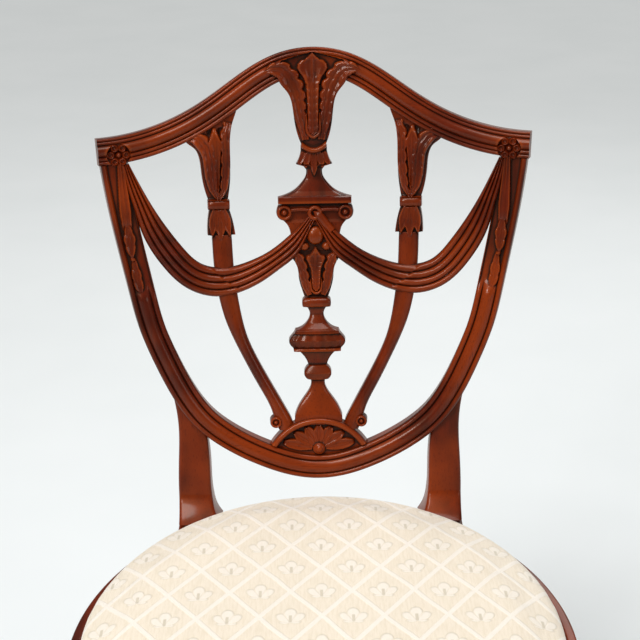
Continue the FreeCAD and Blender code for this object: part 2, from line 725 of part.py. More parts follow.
def lunette(base):
    """The half flower under the splats: a beaded arch over petals."""
    field, centre_w = LUNETTE_FIELD, LUNETTE_CENTRE_W
    body = lunette_disc(LUNETTE_RADIUS, SPLAT_BACK, LUNETTE_FRONT)
    body = body.cut(lunette_disc(LUNETTE_RADIUS - LUNETTE_BEAD, field, LUNETTE_FRONT + 1))
    for i in range(LUNETTE_PETALS):
        angle = math.radians(LUNETTE_SPREAD * (i / (LUNETTE_PETALS - 1.0) - 0.5))
        length = 21.0 + 10.0 * abs(math.sin(angle))
        tip = (length * math.sin(angle), centre_w + length * math.cos(angle) * 1.25)
        side = (math.cos(angle) * 5.0, -math.sin(angle) * 5.0)
        middle = (tip[0] * 0.55, centre_w + (tip[1] - centre_w) * 0.55)
        petal = carved_leaf([(0, centre_w), (middle[0] - side[0], middle[1] - side[1]), tip,
                             (middle[0] + side[0], middle[1] + side[1])], field - 2, field + 3.0)
        body = body.fuse(petal)
    body = body.fuse(board_peg(0, centre_w, LUNETTE_BOSS, field - 2, 3.5))
    top = box_between(Vector(-90, -40, 44), Vector(90, 90, 200))
    body = body.common(top).cut(base)
    return sorted(body.Solids, key=lambda solid: -solid.Volume)[0].removeSplitter()


SWAG_STATIONS = (((204.5, 394), (207.5, 389), -7.5), ((196, 374), (203.6, 366), -7.5),
                 ((184, 349.5), (197.5, 341), -7), ((171, 326.5), (193, 312.4), -5.5),
                 ((150, 297), (173, 278.5), -3), ((131, 279.2), (149.6, 254), -1.7),
                 ((112, 274), (113.7, 239.6), -1.7), ((92, 275.3), (82, 245), -1.7),
                 ((73.6, 281.2), (61, 255.6), -1.7), ((52.3, 292.5), (39.3, 271), -0.7),
                 ((33, 307.5), (18.6, 288.3), -0.7), ((16, 322.5), (9.5, 314), -0.7))
SWAG_FOLDS = 4


def swag_section(upper, lower, back):
    """Round folds side by side on a flat back."""
    first, last = Vector(upper[0], 0, upper[1]), Vector(lower[0], 0, lower[1])
    at = section_plane(first, last)
    crown = min(SWAG_SWELL, 0.9 * (last - first).Length)
    groove = 0.45 * crown
    corners = []
    for i in range(SWAG_FOLDS):
        corners += reed_points(at, i / float(SWAG_FOLDS), (i + 1.0) / SWAG_FOLDS, groove, crown)
    corners += [at(1, back), at(0, back)]
    return closed_polygon(corners)


def swag():
    """One hanging cloth of four folds, from the corner flower to the middle ring."""
    sections = [swag_section(upper, lower, back) for upper, lower, back in SWAG_STATIONS]
    return faceted(sections)


# Seat rails and front legs

BLOCK_LOW = RAIL_BOTTOM + BLOCK_RISE


def rail_band():
    """The ring of seat rails before it is cut into four."""
    band = seat_slab(0, RAIL_BOTTOM, RAIL_TOP).cut(seat_slab(RAIL_THICKNESS, RAIL_BOTTOM, RAIL_TOP))
    return band.cut(seat_slab(RIM_WIDTH, REBATE_FLOOR, RAIL_TOP + 1.0))


def front_head_box():
    """The square head of a front leg."""
    half = FRONT_LEG_HEAD / 2.0
    return box_between(Vector(FRONT_LEG_X - half, FRONT_LEG_Y - half, RAIL_BOTTOM),
                       Vector(FRONT_LEG_X + half, FRONT_LEG_Y + half, RAIL_TOP))


def patera():
    """The round flower on the front of a leg's head."""
    face_y = FRONT_LEG_Y - FRONT_LEG_HEAD / 2.0
    centre = Vector(FRONT_LEG_X, face_y + 2.0, RAIL_BOTTOM + RAIL_DEPTH / 2.0)
    way = Vector(0, -1, 0)
    flower = pin(centre, way, PATERA_RADIUS, 2.0 + PATERA_RELIEF * 0.4)
    flower = flower.fuse(pin(centre, way, PATERA_RADIUS * 0.25, 2.0 + PATERA_RELIEF))
    for i in range(PATERA_PETALS):
        angle = 2 * math.pi * i / PATERA_PETALS
        petal = [(0.2, 0.0), (0.55, 0.2), (0.9, 0.0), (0.55, -0.2)]
        points = []
        for reach, side in petal:
            x = PATERA_RADIUS * (reach * math.sin(angle) + side * math.cos(angle))
            z = PATERA_RADIUS * (reach * math.cos(angle) - side * math.sin(angle))
            points.append(centre + Vector(x, 0, z))
        flower = flower.fuse(Part.Face(closed_polygon(points)).extrude(way * (2.0 + PATERA_RELIEF * 0.85)))
    return flower


def front_leg():
    """A square tapered leg with flutes, a spade foot and a flower on its head."""
    levels = ((0.0, SPADE_FOOT), (SPADE_HEIGHT * SPADE_CHEEK, SPADE_WIDTH), (SPADE_HEIGHT * SPADE_SHOULDER, SPADE_WIDTH),
              (SPADE_HEIGHT, FRONT_LEG_ANKLE), (RAIL_BOTTOM, FRONT_LEG_TOP))
    sections = [square_section(FRONT_LEG_X, FRONT_LEG_Y, z, size) for z, size in levels]
    leg = faceted(sections)
    low, high = SPADE_HEIGHT + FLUTE_STOP, RAIL_BOTTOM - FLUTE_STOP
    flutes = []
    for face in (0, 1):
        for i in (-1, 0, 1):
            ends = []
            for z in (low, high):
                share = (z - SPADE_HEIGHT) / (RAIL_BOTTOM - SPADE_HEIGHT)
                half = (FRONT_LEG_ANKLE + (FRONT_LEG_TOP - FRONT_LEG_ANKLE) * share) / 2.0
                pitch = FLUTE_PITCH * half * 2.0 / FRONT_LEG_TOP
                if face == 0:
                    ends.append(Vector(FRONT_LEG_X + i * pitch, FRONT_LEG_Y - half - FLUTE_OUT, z))
                else:
                    ends.append(Vector(FRONT_LEG_X + half + FLUTE_OUT, FRONT_LEG_Y + i * pitch, z))
            way = ends[1] - ends[0]
            flutes.append(pin(ends[0], way, FLUTE_RADIUS, way.Length))
    leg = leg.cut(Part.makeCompound(flutes))
    leg = leg.multiFuse([front_head_box(), patera()])
    leg = leg.cut(seat_slab(RIM_WIDTH, REBATE_FLOOR, RAIL_TOP + 1.0))
    leg = leg.cut(seat_slab(RAIL_THICKNESS, REBATE_FLOOR - CLOTH_ROOM, RAIL_TOP + 1.0))
    return leg.removeSplitter()


def half_width_at(y):
    """The seat outline's half width at a place ahead of its widest."""
    drop = SEAT_WIDEST_Y - y
    return SEAT_HALF_WIDTH - SIDE_SWEEP_RADIUS + math.sqrt(SIDE_SWEEP_RADIUS ** 2 - drop ** 2)


def front_line_at(x):
    """How far forward the seat outline reaches at x."""
    return SEAT_FRONT_Y + FRONT_BOW_RADIUS - math.sqrt(FRONT_BOW_RADIUS ** 2 - x ** 2)


def rail_joints():
    """Where each tenon starts and the way it runs: rear rail, side rail back, side rail front, front rail."""
    half = FRONT_LEG_HEAD / 2.0
    middle = RAIL_THICKNESS / 2.0
    joints = {}
    for name, x, sign in (("rear", REAR_SECTOR_INNER_X, 1), ("side_back", REAR_SECTOR_OUTER_X, -1)):
        angle = back_angle(x)
        along = (back_place(angle + 0.01, middle) - back_place(angle - 0.01, middle)).normalize() * sign
        joints[name] = (back_place(angle, middle), along)
    side_y = FRONT_LEG_Y + half
    joints["side_front"] = (Vector(half_width_at(side_y) - middle, side_y, 0), Vector(0, -1, 0))
    front_x = FRONT_LEG_X - half
    joints["front"] = (Vector(front_x, front_line_at(front_x) + middle, 0), Vector(1, 0, 0))
    return joints


def front_block_line():
    """The x minus y of the front block's diagonal face."""
    half = FRONT_LEG_HEAD / 2.0
    return FRONT_LEG_X - half - (FRONT_LEG_Y + half) - BLOCK_DEPTH * math.sqrt(2.0)


def corner_block_front():
    """The glue block behind a front leg, between the two rails."""
    line = front_block_line()
    low_y, far_x = FRONT_LEG_Y - BLOCK_SIZE, FRONT_LEG_X + BLOCK_SIZE
    shape = plan_prism([(line + low_y, low_y), (far_x, low_y), (far_x, far_x - line)],
                       BLOCK_LOW, BLOCK_LOW + BLOCK_HEIGHT)
    shape = shape.common(seat_slab(RAIL_THICKNESS, RAIL_BOTTOM, RAIL_TOP)).cut(front_head_box())
    return sorted(shape.Solids, key=lambda solid: -solid.Volume)[0]


def rear_block_frame():
    """The middle of a rear block's inner face, and the way out through it."""
    angle = (back_angle(REAR_SECTOR_INNER_X) + back_angle(REAR_SECTOR_OUTER_X)) / 2.0
    edge = back_place(angle, RAIL_THICKNESS)
    way = (edge - Vector(0, SEAT_WIDEST_Y, 0)).normalize()
    return edge - way * BLOCK_DEPTH, way


def corner_block_rear():
    """The glue block inside a rear leg's head."""
    middle, way = rear_block_frame()
    side = Vector(way.y, -way.x, 0) * (BLOCK_SIZE * 0.75)
    far = way * (2.0 * BLOCK_DEPTH)
    corners = [middle - side, middle + side, middle + side + far, middle - side + far]
    shape = plan_prism([(p.x, p.y) for p in corners], BLOCK_LOW, BLOCK_LOW + BLOCK_HEIGHT)
    return shape.common(seat_slab(RAIL_THICKNESS, RAIL_BOTTOM, RAIL_TOP))


def screw_places():
    """Start point and direction of each corner block screw on the +X side."""
    half = FRONT_LEG_HEAD / 2.0
    line = front_block_line()
    height = BLOCK_LOW + BLOCK_HEIGHT / 2.0
    first_x = FRONT_LEG_X - half - SCREW_OFFSET
    second_y = FRONT_LEG_Y + half + SCREW_OFFSET
    places = [(Vector(first_x, first_x - line - SCREW_SUNK, height), Vector(0, -1, 0)),
              (Vector(second_y + line + SCREW_SUNK, second_y, height), Vector(1, 0, 0))]
    middle, way = rear_block_frame()
    side = Vector(way.y, -way.x, 0)
    for offset in (-SCREW_SPREAD, SCREW_SPREAD):
        start = middle + side * offset
        places.append((Vector(start.x, start.y, height) + way * 0.5, way))
    return places


def screw(start, way, radius, head_radius, length):
    """A countersunk wood screw."""
    return pin(start, way, radius, length).fuse(pin(start, way, head_radius, head_radius - radius, radius))


def screw_hole(start, way):
    """The pilot hole and the sunk seat that a screw goes into."""
    hole = screw(start, way, SCREW_RADIUS + JOINT_GAP / 2.0, SCREW_HEAD_RADIUS + JOINT_GAP,
                 SCREW_LENGTH + JOINT_GAP)
    return hole.fuse(pin(start - way * (3 * SCREW_SUNK), way, SCREW_HEAD_RADIUS + JOINT_GAP, 3 * SCREW_SUNK))


# The lift-out seat

FRAME_LOW = REBATE_FLOOR + LAY_GAP + COVER_THICKNESS + LAY_GAP
FRAME_TOP = FRAME_LOW + FRAME_THICKNESS
COVER_OUT = RIM_WIDTH + SEAT_CLEARANCE
COVER_IN = COVER_OUT + COVER_THICKNESS
FRAME_OUT = COVER_IN + LAY_GAP


def crowned_section(base, inset, z):
    """The seat's plan drawn in to base, then shrunk evenly until it is drawn in by inset."""
    share = 1.0 - (inset - base) / (PLAN_HALF_DEPTH - base)
    points = [vertex.Point for vertex in seat_curve(base, 0).OrderedVertexes]
    return closed_polygon([Vector(p.x * share, PLAN_MIDDLE_Y + (p.y - PLAN_MIDDLE_Y) * share, z) for p in points])


def crowned_pad(low, base, shrink):
    """A pad with upright edges and a crowned top, drawn in by shrink all over."""
    levels = [(low, base), (RAIL_TOP - 1.0 - shrink, base)]
    for rise, inset in CUSHION_LEVELS:
        levels.append((RAIL_TOP + rise - shrink, COVER_OUT + inset + shrink))
    return faceted([crowned_section(base, inset, z) for z, inset in levels])


def seat_cover():
    """The woven cover: crowned over the pad and turned under the frame."""
    low = REBATE_FLOOR + LAY_GAP
    cover = crowned_pad(low, COVER_OUT, 0.0)
    cover = cover.cut(crowned_pad(low + COVER_THICKNESS, COVER_IN, COVER_THICKNESS))
    return cover.cut(seat_slab(COVER_OUT + TURN_UNDER, low - 1.0, low + COVER_THICKNESS + 1.0))


def pad_low():
    """The underside of the stuffing, above frame, webs and hessian."""
    return FRAME_TOP + 4 * LAY_GAP + 2 * WEB_THICKNESS + HESSIAN_THICKNESS


def seat_stuffing():
    """The hair pad under the cover."""
    shrink = COVER_THICKNESS + LAY_GAP
    pad = crowned_pad(FRAME_LOW, FRAME_OUT, shrink)
    room = box_between(Vector(-400, -600, pad_low()), Vector(400, 300, RAIL_TOP + 100))
    return pad.common(room)


def seat_frame():
    """Four beech rails, half-lapped at the corners."""
    low, high = FRAME_LOW, FRAME_TOP
    middle = (low + high) / 2.0
    slab = seat_slab(FRAME_OUT, low, high)
    opening = box_between(Vector(-FRAME_OPENING_X, FRAME_OPENING_FRONT_Y, low - 1),
                          Vector(FRAME_OPENING_X, FRAME_OPENING_REAR_Y, high + 1))
    slab = slab.cut(opening)
    far = 400.0
    rails = {}
    ends = (("rear", FRAME_OPENING_REAR_Y, far), ("front", -2 * far, FRAME_OPENING_FRONT_Y))
    for name, first_y, last_y in ends:
        across = box_between(Vector(-FRAME_OPENING_X, first_y, low), Vector(FRAME_OPENING_X, last_y, high))
        lapped = box_between(Vector(-far, first_y, low), Vector(far, last_y, middle))
        rails[name] = slab.common(across.fuse(lapped))
    side = box_between(Vector(FRAME_OPENING_X, -2 * far, low), Vector(far, far, high))
    for name, first_y, last_y in ends:
        side = side.cut(box_between(Vector(0, first_y, low - 1), Vector(far, last_y, middle)))
    rails["side"] = slab.common(side)
    return rails


def seat_webbing():
    """Jute webs over the frame, one layer each way."""
    span_y = FRAME_OPENING_REAR_Y - FRAME_OPENING_FRONT_Y
    webs = []
    for i in range(WEB_COUNT):
        share = (i + 0.5) / WEB_COUNT
        x = -FRAME_OPENING_X + 2 * FRAME_OPENING_X * share
        z = FRAME_TOP + LAY_GAP
        webs.append(box_between(Vector(x - WEB_WIDTH / 2.0, FRAME_OPENING_FRONT_Y - WEB_GRIP, z),
                                Vector(x + WEB_WIDTH / 2.0, FRAME_OPENING_REAR_Y + WEB_GRIP, z + WEB_THICKNESS)))
        y = FRAME_OPENING_FRONT_Y + span_y * share
        z += WEB_THICKNESS + LAY_GAP
        webs.append(box_between(Vector(-FRAME_OPENING_X - WEB_GRIP, y - WEB_WIDTH / 2.0, z),
                                Vector(FRAME_OPENING_X + WEB_GRIP, y + WEB_WIDTH / 2.0, z + WEB_THICKNESS)))
    return Part.makeCompound(webs)


def seat_hessian():
    """The hessian sheet over the webs."""
    low = FRAME_TOP + 3 * LAY_GAP + 2 * WEB_THICKNESS
    return seat_slab(FRAME_OUT + 10.0, low, low + HESSIAN_THICKNESS)


def dust_cover():
    """The black cloth under the seat."""
    return seat_slab(DUST_INSET, REBATE_FLOOR - DUST_THICKNESS, REBATE_FLOOR)


def tack_places():
    """Even places for the tacks that hold the dust cover."""
    curve = Part.Wire(seat_curve(DUST_INSET + 6.0, REBATE_FLOOR).Edges)
    return curve.discretize(TACK_COUNT + 1)[:-1]


def tack(point, head, shank, rise):
    """A cut tack: square shank, flat head below the cloth."""
    top = point - Vector(0, 0, DUST_THICKNESS)
    head_box = box_between(top - Vector(head, head, 0.8), top + Vector(head, head, 0))
    shank_box = box_between(top - Vector(shank, shank, 0.4), top + Vector(shank, shank, rise))
    return head_box.fuse(shank_box)


def build_back():
    """The shield, its splats and its swags."""
    crest = crest_rail()
    flat_base = moulded_rail(STILE_CURVE, even_stops(BASE_START, BASE_END, 19),
                             STILE_MEMBERS, STILE_CROWNS, STILE_WIDTH)
    splat = centre_splat(crest)
    side = side_splat(crest).cut(splat)
    arch = lunette(flat_base).cut(side).cut(mirrored(side))
    sockets = [splat_tenon(0, CENTRE_TENON_W, SPLAT_TENON_U, JOINT_GAP)]
    for face in (1, -1):
        sockets.append(splat_tenon(face * SIDE_TENON_U, SIDE_TENON_W, SIDE_TENON_HALF, JOINT_GAP))
        sockets.append(stile_tenon(face, JOINT_GAP))
    keep("crest_rail", leaned(crest.cut(Part.makeCompound(sockets))))
    upright = rear_upright().cut(leaned(crest)).fuse(leaned(stile_tenon(1, 0))).removeSplitter()
    upright = upright.cut(base_dowel(DOWEL_RADIUS + JOINT_GAP / 2.0, DOWEL_LENGTH + 2 * JOINT_GAP))
    keep_pair("rear_upright", upright)
    hole = base_dowel(DOWEL_RADIUS + JOINT_GAP / 2.0, DOWEL_LENGTH + 2 * JOINT_GAP)
    keep("shield_base_rail", leaned(flat_base).cut(hole).cut(mirrored(hole)))
    dowel = base_dowel(DOWEL_RADIUS, DOWEL_LENGTH)
    keep("base_rail_dowels", Part.makeCompound([dowel, mirrored(dowel)]))
    keep("centre_splat", leaned(splat))
    keep_pair("side_splat", leaned(side))
    keep("lunette", leaned(arch))
    keep_pair("swag", leaned(swag().cut(splat).cut(side)))


def stile_tenon(side, grow):
    """The tenon on a stile's head, up into the crest rail."""
    centre = on_board(side * STILE_TENON_U, 0, -BOARD_THICKNESS / 2.0)
    half = Vector(STILE_TENON_HALF + grow, TENON_THICKNESS / 2.0 + grow, 0)
    return box_between(centre - half + Vector(0, 0, STILE_TENON_LOW - grow),
                       centre + half + Vector(0, 0, STILE_TENON_HIGH + grow))


def build_seat_rails():
    """The four seat rails, the front legs, their joints and corner blocks."""
    band = rail_band()
    inner, outer = back_angle(REAR_SECTOR_INNER_X), back_angle(REAR_SECTOR_OUTER_X)
    half = FRONT_LEG_HEAD / 2.0
    keep("rear_seat_rail", band.common(back_sector(-inner, inner, RAIL_BOTTOM, RAIL_TOP)))
    wide = back_place(outer, 0)
    far = 1.6
    region = plan_prism([(0, SEAT_WIDEST_Y), (wide.x * far, SEAT_WIDEST_Y + (wide.y - SEAT_WIDEST_Y) * far),
                         (500, SEAT_WIDEST_Y), (500, FRONT_LEG_Y + half), (0, FRONT_LEG_Y + half)],
                        RAIL_BOTTOM, RAIL_TOP)
    side = band.common(region)
    front_x = FRONT_LEG_X - half
    front = band.common(box_between(Vector(-front_x, -600, RAIL_BOTTOM), Vector(front_x, FRONT_LEG_Y, RAIL_TOP)))
    leg = front_leg()
    joints = rail_joints()
    side = side.fuse(plan_tenon(*joints["side_back"], 0)).fuse(plan_tenon(*joints["side_front"], 0))
    rear = pieces["rear_seat_rail"]
    plain_rear = rear
    for turn in (lambda shape: shape, mirrored):
        rear = rear.fuse(turn(plan_tenon(*joints["rear"], 0)))
        front = front.fuse(turn(plan_tenon(*joints["front"], 0)))
    for name in ("front", "side_front"):
        leg = leg.cut(plan_tenon(*joints[name], JOINT_GAP))
    upright = pieces["rear_upright_right"]
    upright = upright.cut(seat_slab(RAIL_THICKNESS, REBATE_FLOOR - CLOTH_ROOM, RAIL_TOP + 1.0))
    for name in ("rear", "side_back"):
        upright = upright.cut(plan_tenon(*joints[name], JOINT_GAP))
    blocks = {"front": corner_block_front(), "rear": corner_block_rear().cut(upright).cut(plain_rear)}
    screws = []
    for start, way in screw_places():
        screws.append(screw(start, way, SCREW_RADIUS, SCREW_HEAD_RADIUS, SCREW_LENGTH))
        hole = screw_hole(start, way)
        blocks = {name: block.cut(hole) for name, block in blocks.items()}
        front = front.cut(hole).cut(mirrored(hole))
        side = side.cut(hole)
        rear = rear.cut(hole).cut(mirrored(hole))
        leg = leg.cut(hole)
        upright = upright.cut(hole)
    keep("rear_seat_rail", rear.removeSplitter())
    keep("front_seat_rail", front.removeSplitter())
    keep_pair("side_seat_rail", side.removeSplitter())
    keep_pair("front_leg", leg)
    keep_pair("rear_upright", upright)
    keep_pair("front_corner_block", blocks["front"])
    keep_pair("rear_corner_block", blocks["rear"])
    keep("corner_block_screws", Part.makeCompound(screws + [mirrored(one) for one in screws]))


def build_seat():
    """The lift-out seat, from its frame up to its cover."""
    rails = seat_frame()
    tacks = [tack(point, TACK_HEAD, TACK_SHANK, TACK_LENGTH) for point in tack_places()]
    room = TACK_SHANK + 0.05
    holes = Part.makeCompound([tack(point, room, room, TACK_LENGTH + 0.1) for point in tack_places()])
    keep("seat_frame_front", rails["front"].cut(holes))
    keep("seat_frame_rear", rails["rear"].cut(holes))
    keep("seat_frame_side_right", rails["side"].cut(holes))
    keep("seat_frame_side_left", mirrored(rails["side"]).cut(holes))
    keep("seat_webbing", seat_webbing())
    keep("seat_hessian", seat_hessian())
    keep("seat_stuffing", seat_stuffing())
    keep("seat_cover", seat_cover().cut(holes))
    keep("dust_cover", dust_cover().cut(holes))
    keep("dust_cover_tacks", Part.makeCompound(tacks))


def centred():
    """Move every piece so that the origin is under the middle of the chair."""
    whole = Part.makeCompound(list(pieces.values())).BoundBox
    shift = Vector(-(whole.XMin + whole.XMax) / 2.0, -(whole.YMin + whole.YMax) / 2.0, -whole.ZMin)
    for shape in pieces.values():
        shape.translate(shift)
    return shift


build_back()
build_seat_rails()
build_seat()
shift = centred()
os.makedirs("parts", exist_ok=True)
for name, shape in pieces.items():
    shape.exportStep("parts/" + name + ".step")
    print(name, len(shape.Solids), "solids, valid:", shape.isValid(), "volume", round(shape.Volume))
print("moved by", shift)
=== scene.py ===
"""A shield back dining chair in carved mahogany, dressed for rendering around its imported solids."""
import math

import bmesh
import bpy
import numpy as np
from mathutils import Matrix, Vector


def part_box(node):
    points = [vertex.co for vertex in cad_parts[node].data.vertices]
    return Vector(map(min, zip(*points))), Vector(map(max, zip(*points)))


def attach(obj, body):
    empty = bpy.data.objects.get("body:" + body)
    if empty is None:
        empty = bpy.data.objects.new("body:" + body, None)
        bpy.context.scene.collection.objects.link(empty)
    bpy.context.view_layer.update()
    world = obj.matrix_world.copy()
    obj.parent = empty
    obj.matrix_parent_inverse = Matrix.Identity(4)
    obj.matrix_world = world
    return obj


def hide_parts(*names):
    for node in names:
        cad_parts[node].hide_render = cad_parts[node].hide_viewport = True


bl_info = {
    "name": "Shield back dining chair",
    "version": (1, 0, 0),
    "blender": (4, 5, 0),
    "location": "3D View > Sidebar > Chair",
    "description": "Carved shield back, seat rails, legs and damask seat around the chair's solids",
    "category": "Object",
}

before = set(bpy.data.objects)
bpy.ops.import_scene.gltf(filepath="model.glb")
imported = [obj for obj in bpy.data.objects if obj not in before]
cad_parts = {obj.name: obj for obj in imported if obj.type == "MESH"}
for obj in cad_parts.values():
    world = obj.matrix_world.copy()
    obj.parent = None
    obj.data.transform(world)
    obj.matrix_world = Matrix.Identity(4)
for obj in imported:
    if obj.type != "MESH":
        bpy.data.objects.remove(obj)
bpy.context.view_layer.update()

# All sizes are millimetres, as in the part's own source: u across the back, w up it, n out of its face.
RAIL_TOP, RAIL_DEPTH, RAIL_THICKNESS = 465.0, 66.0, 28.0
SEAT_HALF_WIDTH, SEAT_BACK_REACH, SEAT_WIDEST_Y, SEAT_FRONT_Y = 262.0, 284.0, -228.0, -452.0
SIDE_SWEEP_RADIUS, FRONT_BOW_RADIUS, FRONT_CORNER_RADIUS = 830.0, 640.0, 26.0
RIM_WIDTH, REBATE_DEPTH = 10.5, 18.0
BACK_Z, BACK_LEAN, BACK_BOW, BACK_HALF_WIDTH = 500.0, math.radians(12.6), 30.0, 240.5
BOARD_THICKNESS, SPLAT_BACK = 20.0, -16.0
CREST_WIDTH, CREST_MEMBERS, CREST_CROWNS = 30.0, (3.6, 4.2, 12.6, 4.8, 4.8), (2.2, 2.4, 5.4, 2.6, 2.6)
STILE_WIDTH, STILE_MEMBERS, STILE_CROWNS = 28.0, (6.0, 15.5, 6.5), (3.0, 5.2, 3.2)
VALLEY = 0.2
CREST_LINE = ((0, 519.5), (34, 514.7), (69, 498.8), (106, 473.3), (143, 450), (200, 428.6), (240.5, 423))
STILE_LINE = ((240.5, 423), (231, 350), (212, 250), (200.5, 200), (187.5, 165), (167.5, 122), (143, 86),
              (112, 59.6), (69.5, 36), (24, 20.9), (0, 18.6))
BASE_JOINT_U = 118.0
POST_STATIONS = ((118, 141, 168, 13), (86, 133, 164.3, 19), (39, 128.7, 165.8, 29), (0, 127.3, 166.6, 33),
                 (-15, 124.2, 166.2, 42), (-28, 117.0, 166, 54))
REAR_HEAD = (124.0, 167.0, -15.0, 48.0)
REAR_LEG_SIZE, REAR_FOOT_SIZE, REAR_FOOT_X, REAR_FOOT_RAKE, REAR_SWEEP_POWER = 38.0, 27.0, 152.0, 92.0, 1.8
FRONT_LEG_X, FRONT_LEG_Y, FRONT_LEG_HEAD = 226.0, -398.0, 46.0
FLUTE_PITCH, FLUTE_SHARE, FLUTE_DEPTH = 9.4, 0.36, 1.9
LUNETTE_RADIUS, LUNETTE_W, LUNETTE_BEAD = 66.6, 25.7, 8.4
FLOWER_U, FLOWER_W, FLOWER_RADIUS, FLOWER_SINK = 217.6, 404.8, 13.2, 12.5

# The cushion's grid and the height of its held foot, in metres, and its short cloth simulation.
CUSHION_GRID, CUSHION_HELD, CLOTH_PRESSURE, CLOTH_FRAMES, CUSHION_SOFTENING = 0.006, 0.014, 4.0, 20, 6
# Waves per metre of the wood's figure, pores and clouds, across the grain and along it.
FIGURE_WAVES, FIGURE_WAVES_ALONG, PORE_WAVES, PORE_WAVES_ALONG, CLOUD_WAVES = 58.0, 5.0, 900.0, 60.0, 9.0
# The damask's diamonds and threads in metres, and its palmette's foot in millimetres and count of lobes.
DIAMOND_ACROSS, DIAMOND_DEEP, THREAD_SPACING = 0.064, 0.088, 0.0012
PALMETTE_FOOT, PALMETTE_LOBES = 10.0, 7

# The studio's lamps, in metres and watts, and the soft sun.
STUDIO_LAMPS = (("key", (-1.7, -1.9, 2.6), 1.0, 42), ("fill", (2.3, -1.4, 1.7), 1.2, 8),
                ("top", (0.2, 0.1, 3.0), 1.0, 16), ("rim", (0.6, 2.4, 2.2), 1.2, 14))
LAMP_AIM, DAYLIGHT_WAY, DAYLIGHT = Vector((0, 0.1, 0.7)), Vector((0.35, 0.45, -1.0)), 1.56
# Where the photographer's camera stood, with its lens, in millimetres, and how it was turned, in degrees.
CAMERA_LENS, CAMERA_PLACE, CAMERA_PITCH_YAW_ROLL = 80.16, (1.0, -1435.0, 1360.0), (23.7, 0.1, 1.0)

# The solids were moved along Y to stand centred: the back of a front leg's head gives by how much.
SHIFT_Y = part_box("front_leg_right")[1].y * 1000.0 - (FRONT_LEG_Y + FRONT_LEG_HEAD / 2.0)
BOW_RADIUS = (BACK_HALF_WIDTH ** 2 + BACK_BOW ** 2) / (2.0 * BACK_BOW)


# Curves

def smooth(points, count):
    """Points along a smooth curve through the given ones, evenly spread over its parameter."""
    points = np.array(points, float)
    if len(points) == 2:
        return points[0] + (points[1] - points[0]) * np.linspace(0, 1, count)[:, None]
    step = np.linalg.norm(np.diff(points, axis=0), axis=1)
    at = np.concatenate([[0], np.cumsum(step)])
    rows = np.zeros((len(points), len(points)))
    right = np.zeros_like(points)
    slope = np.diff(points, axis=0) / step[:, None]
    for i in range(1, len(points) - 1):
        rows[i, i - 1:i + 2] = (step[i], 2 * (step[i - 1] + step[i]), step[i - 1])
        right[i] = 3 * (step[i] * slope[i - 1] + step[i - 1] * slope[i])
    for end, first, last in ((0, 0, 1), (-1, -1, -2)):
        share = step[first] / (step[first] + step[last])
        rows[end, end] = 1.0
        right[end] = slope[first] * (1 + share) - slope[last] * share
    tangent = np.linalg.solve(rows, right)
    where = np.linspace(0, at[-1], count)
    k = np.clip(np.searchsorted(at, where, side="right") - 1, 0, len(step) - 1)
    h = step[k][:, None]
    t = ((where - at[k]) / step[k])[:, None]
    return ((2 * t ** 3 - 3 * t ** 2 + 1) * points[k] + (t ** 3 - 2 * t ** 2 + t) * h * tangent[k]
            + (3 * t ** 2 - 2 * t ** 3) * points[k + 1] + (t ** 3 - t ** 2) * h * tangent[k + 1])


def evened(points, spacing):
    """The same curve with its points set spacing apart."""
    length = np.concatenate([[0], np.cumsum(np.linalg.norm(np.diff(points, axis=0), axis=1))])
    where = np.linspace(0, length[-1], max(2, int(round(length[-1] / spacing)) + 1))
    return np.stack([np.interp(where, length, points[:, i]) for i in range(points.shape[1])], axis=1)


def both_sides(line):
    """A symmetrical outline from the points of its +X half."""
    half = sorted(line, key=lambda point: -point[0])
    return smooth(half + [(-u, w) for u, w in reversed(half) if u > 0], 4000)


def inward_normals(points):
    """Unit normals of an outline of the shield, towards its middle."""
    along = np.gradient(points, axis=0)
    along /= np.linalg.norm(along, axis=1)[:, None]
    normal = np.stack([-along[:, 1], along[:, 0]], axis=1)
    turn = np.sign(((np.array([0, 260.0]) - points) * normal).sum(axis=1))
    return normal * turn[:, None]


def on_board(u, w, n):
    """World places, in metres, n in front of the bowed and leaning board."""
    slope = u / BOW_RADIUS
    x = u - n * slope
    y = BACK_BOW - BOW_RADIUS + np.sqrt(BOW_RADIUS ** 2 - u ** 2) - n * np.sqrt(1 - slope ** 2)
    back = w * math.sin(BACK_LEAN) + y * math.cos(BACK_LEAN) + SHIFT_Y
    up = BACK_Z + w * math.cos(BACK_LEAN) - y * math.sin(BACK_LEAN)
    return np.stack([x, back, up], axis=-1) / 1000.0


def step_up(low, high, value):
    """0 below low, 1 above high and a soft rise between."""
    share = np.clip((value - low) / (high - low), 0, 1)
    return share * share * (3 - 2 * share)


# Meshes

def blurred(grid, times):
    """A grid of heights evened out along both ways."""
    for _ in range(times):
        grid = np.pad(grid, 1, mode="edge")
        grid = (grid[:-2, 1:-1] + grid[2:, 1:-1] + grid[1:-1, :-2] + grid[1:-1, 2:]
                + 4 * grid[1:-1, 1:-1]) / 8
    return grid


def hollows(height):
    """How far each place of a carved face lies below what is around it, -1 on a ridge to 1 in a groove; the
    wood's material paints shade into the grooves from it.
    """
    near, wide = blurred(height, 10), blurred(height, 90)
    return blurred(np.clip((near - height) / 1.0 + (wide - height) / 2.6, -1, 1), 2)


def grid_faces(rows, columns, closed):
    """The quads of a grid of points, closed round its columns where asked."""
    first = np.arange(rows * columns).reshape(rows, columns)
    last = np.roll(first, -1, axis=1)
    if not closed:
        first, last = first[:, :-1], last[:, :-1]
    return np.stack([first[:-1], last[:-1], last[1:], first[1:]], axis=-1).reshape(-1, 4)


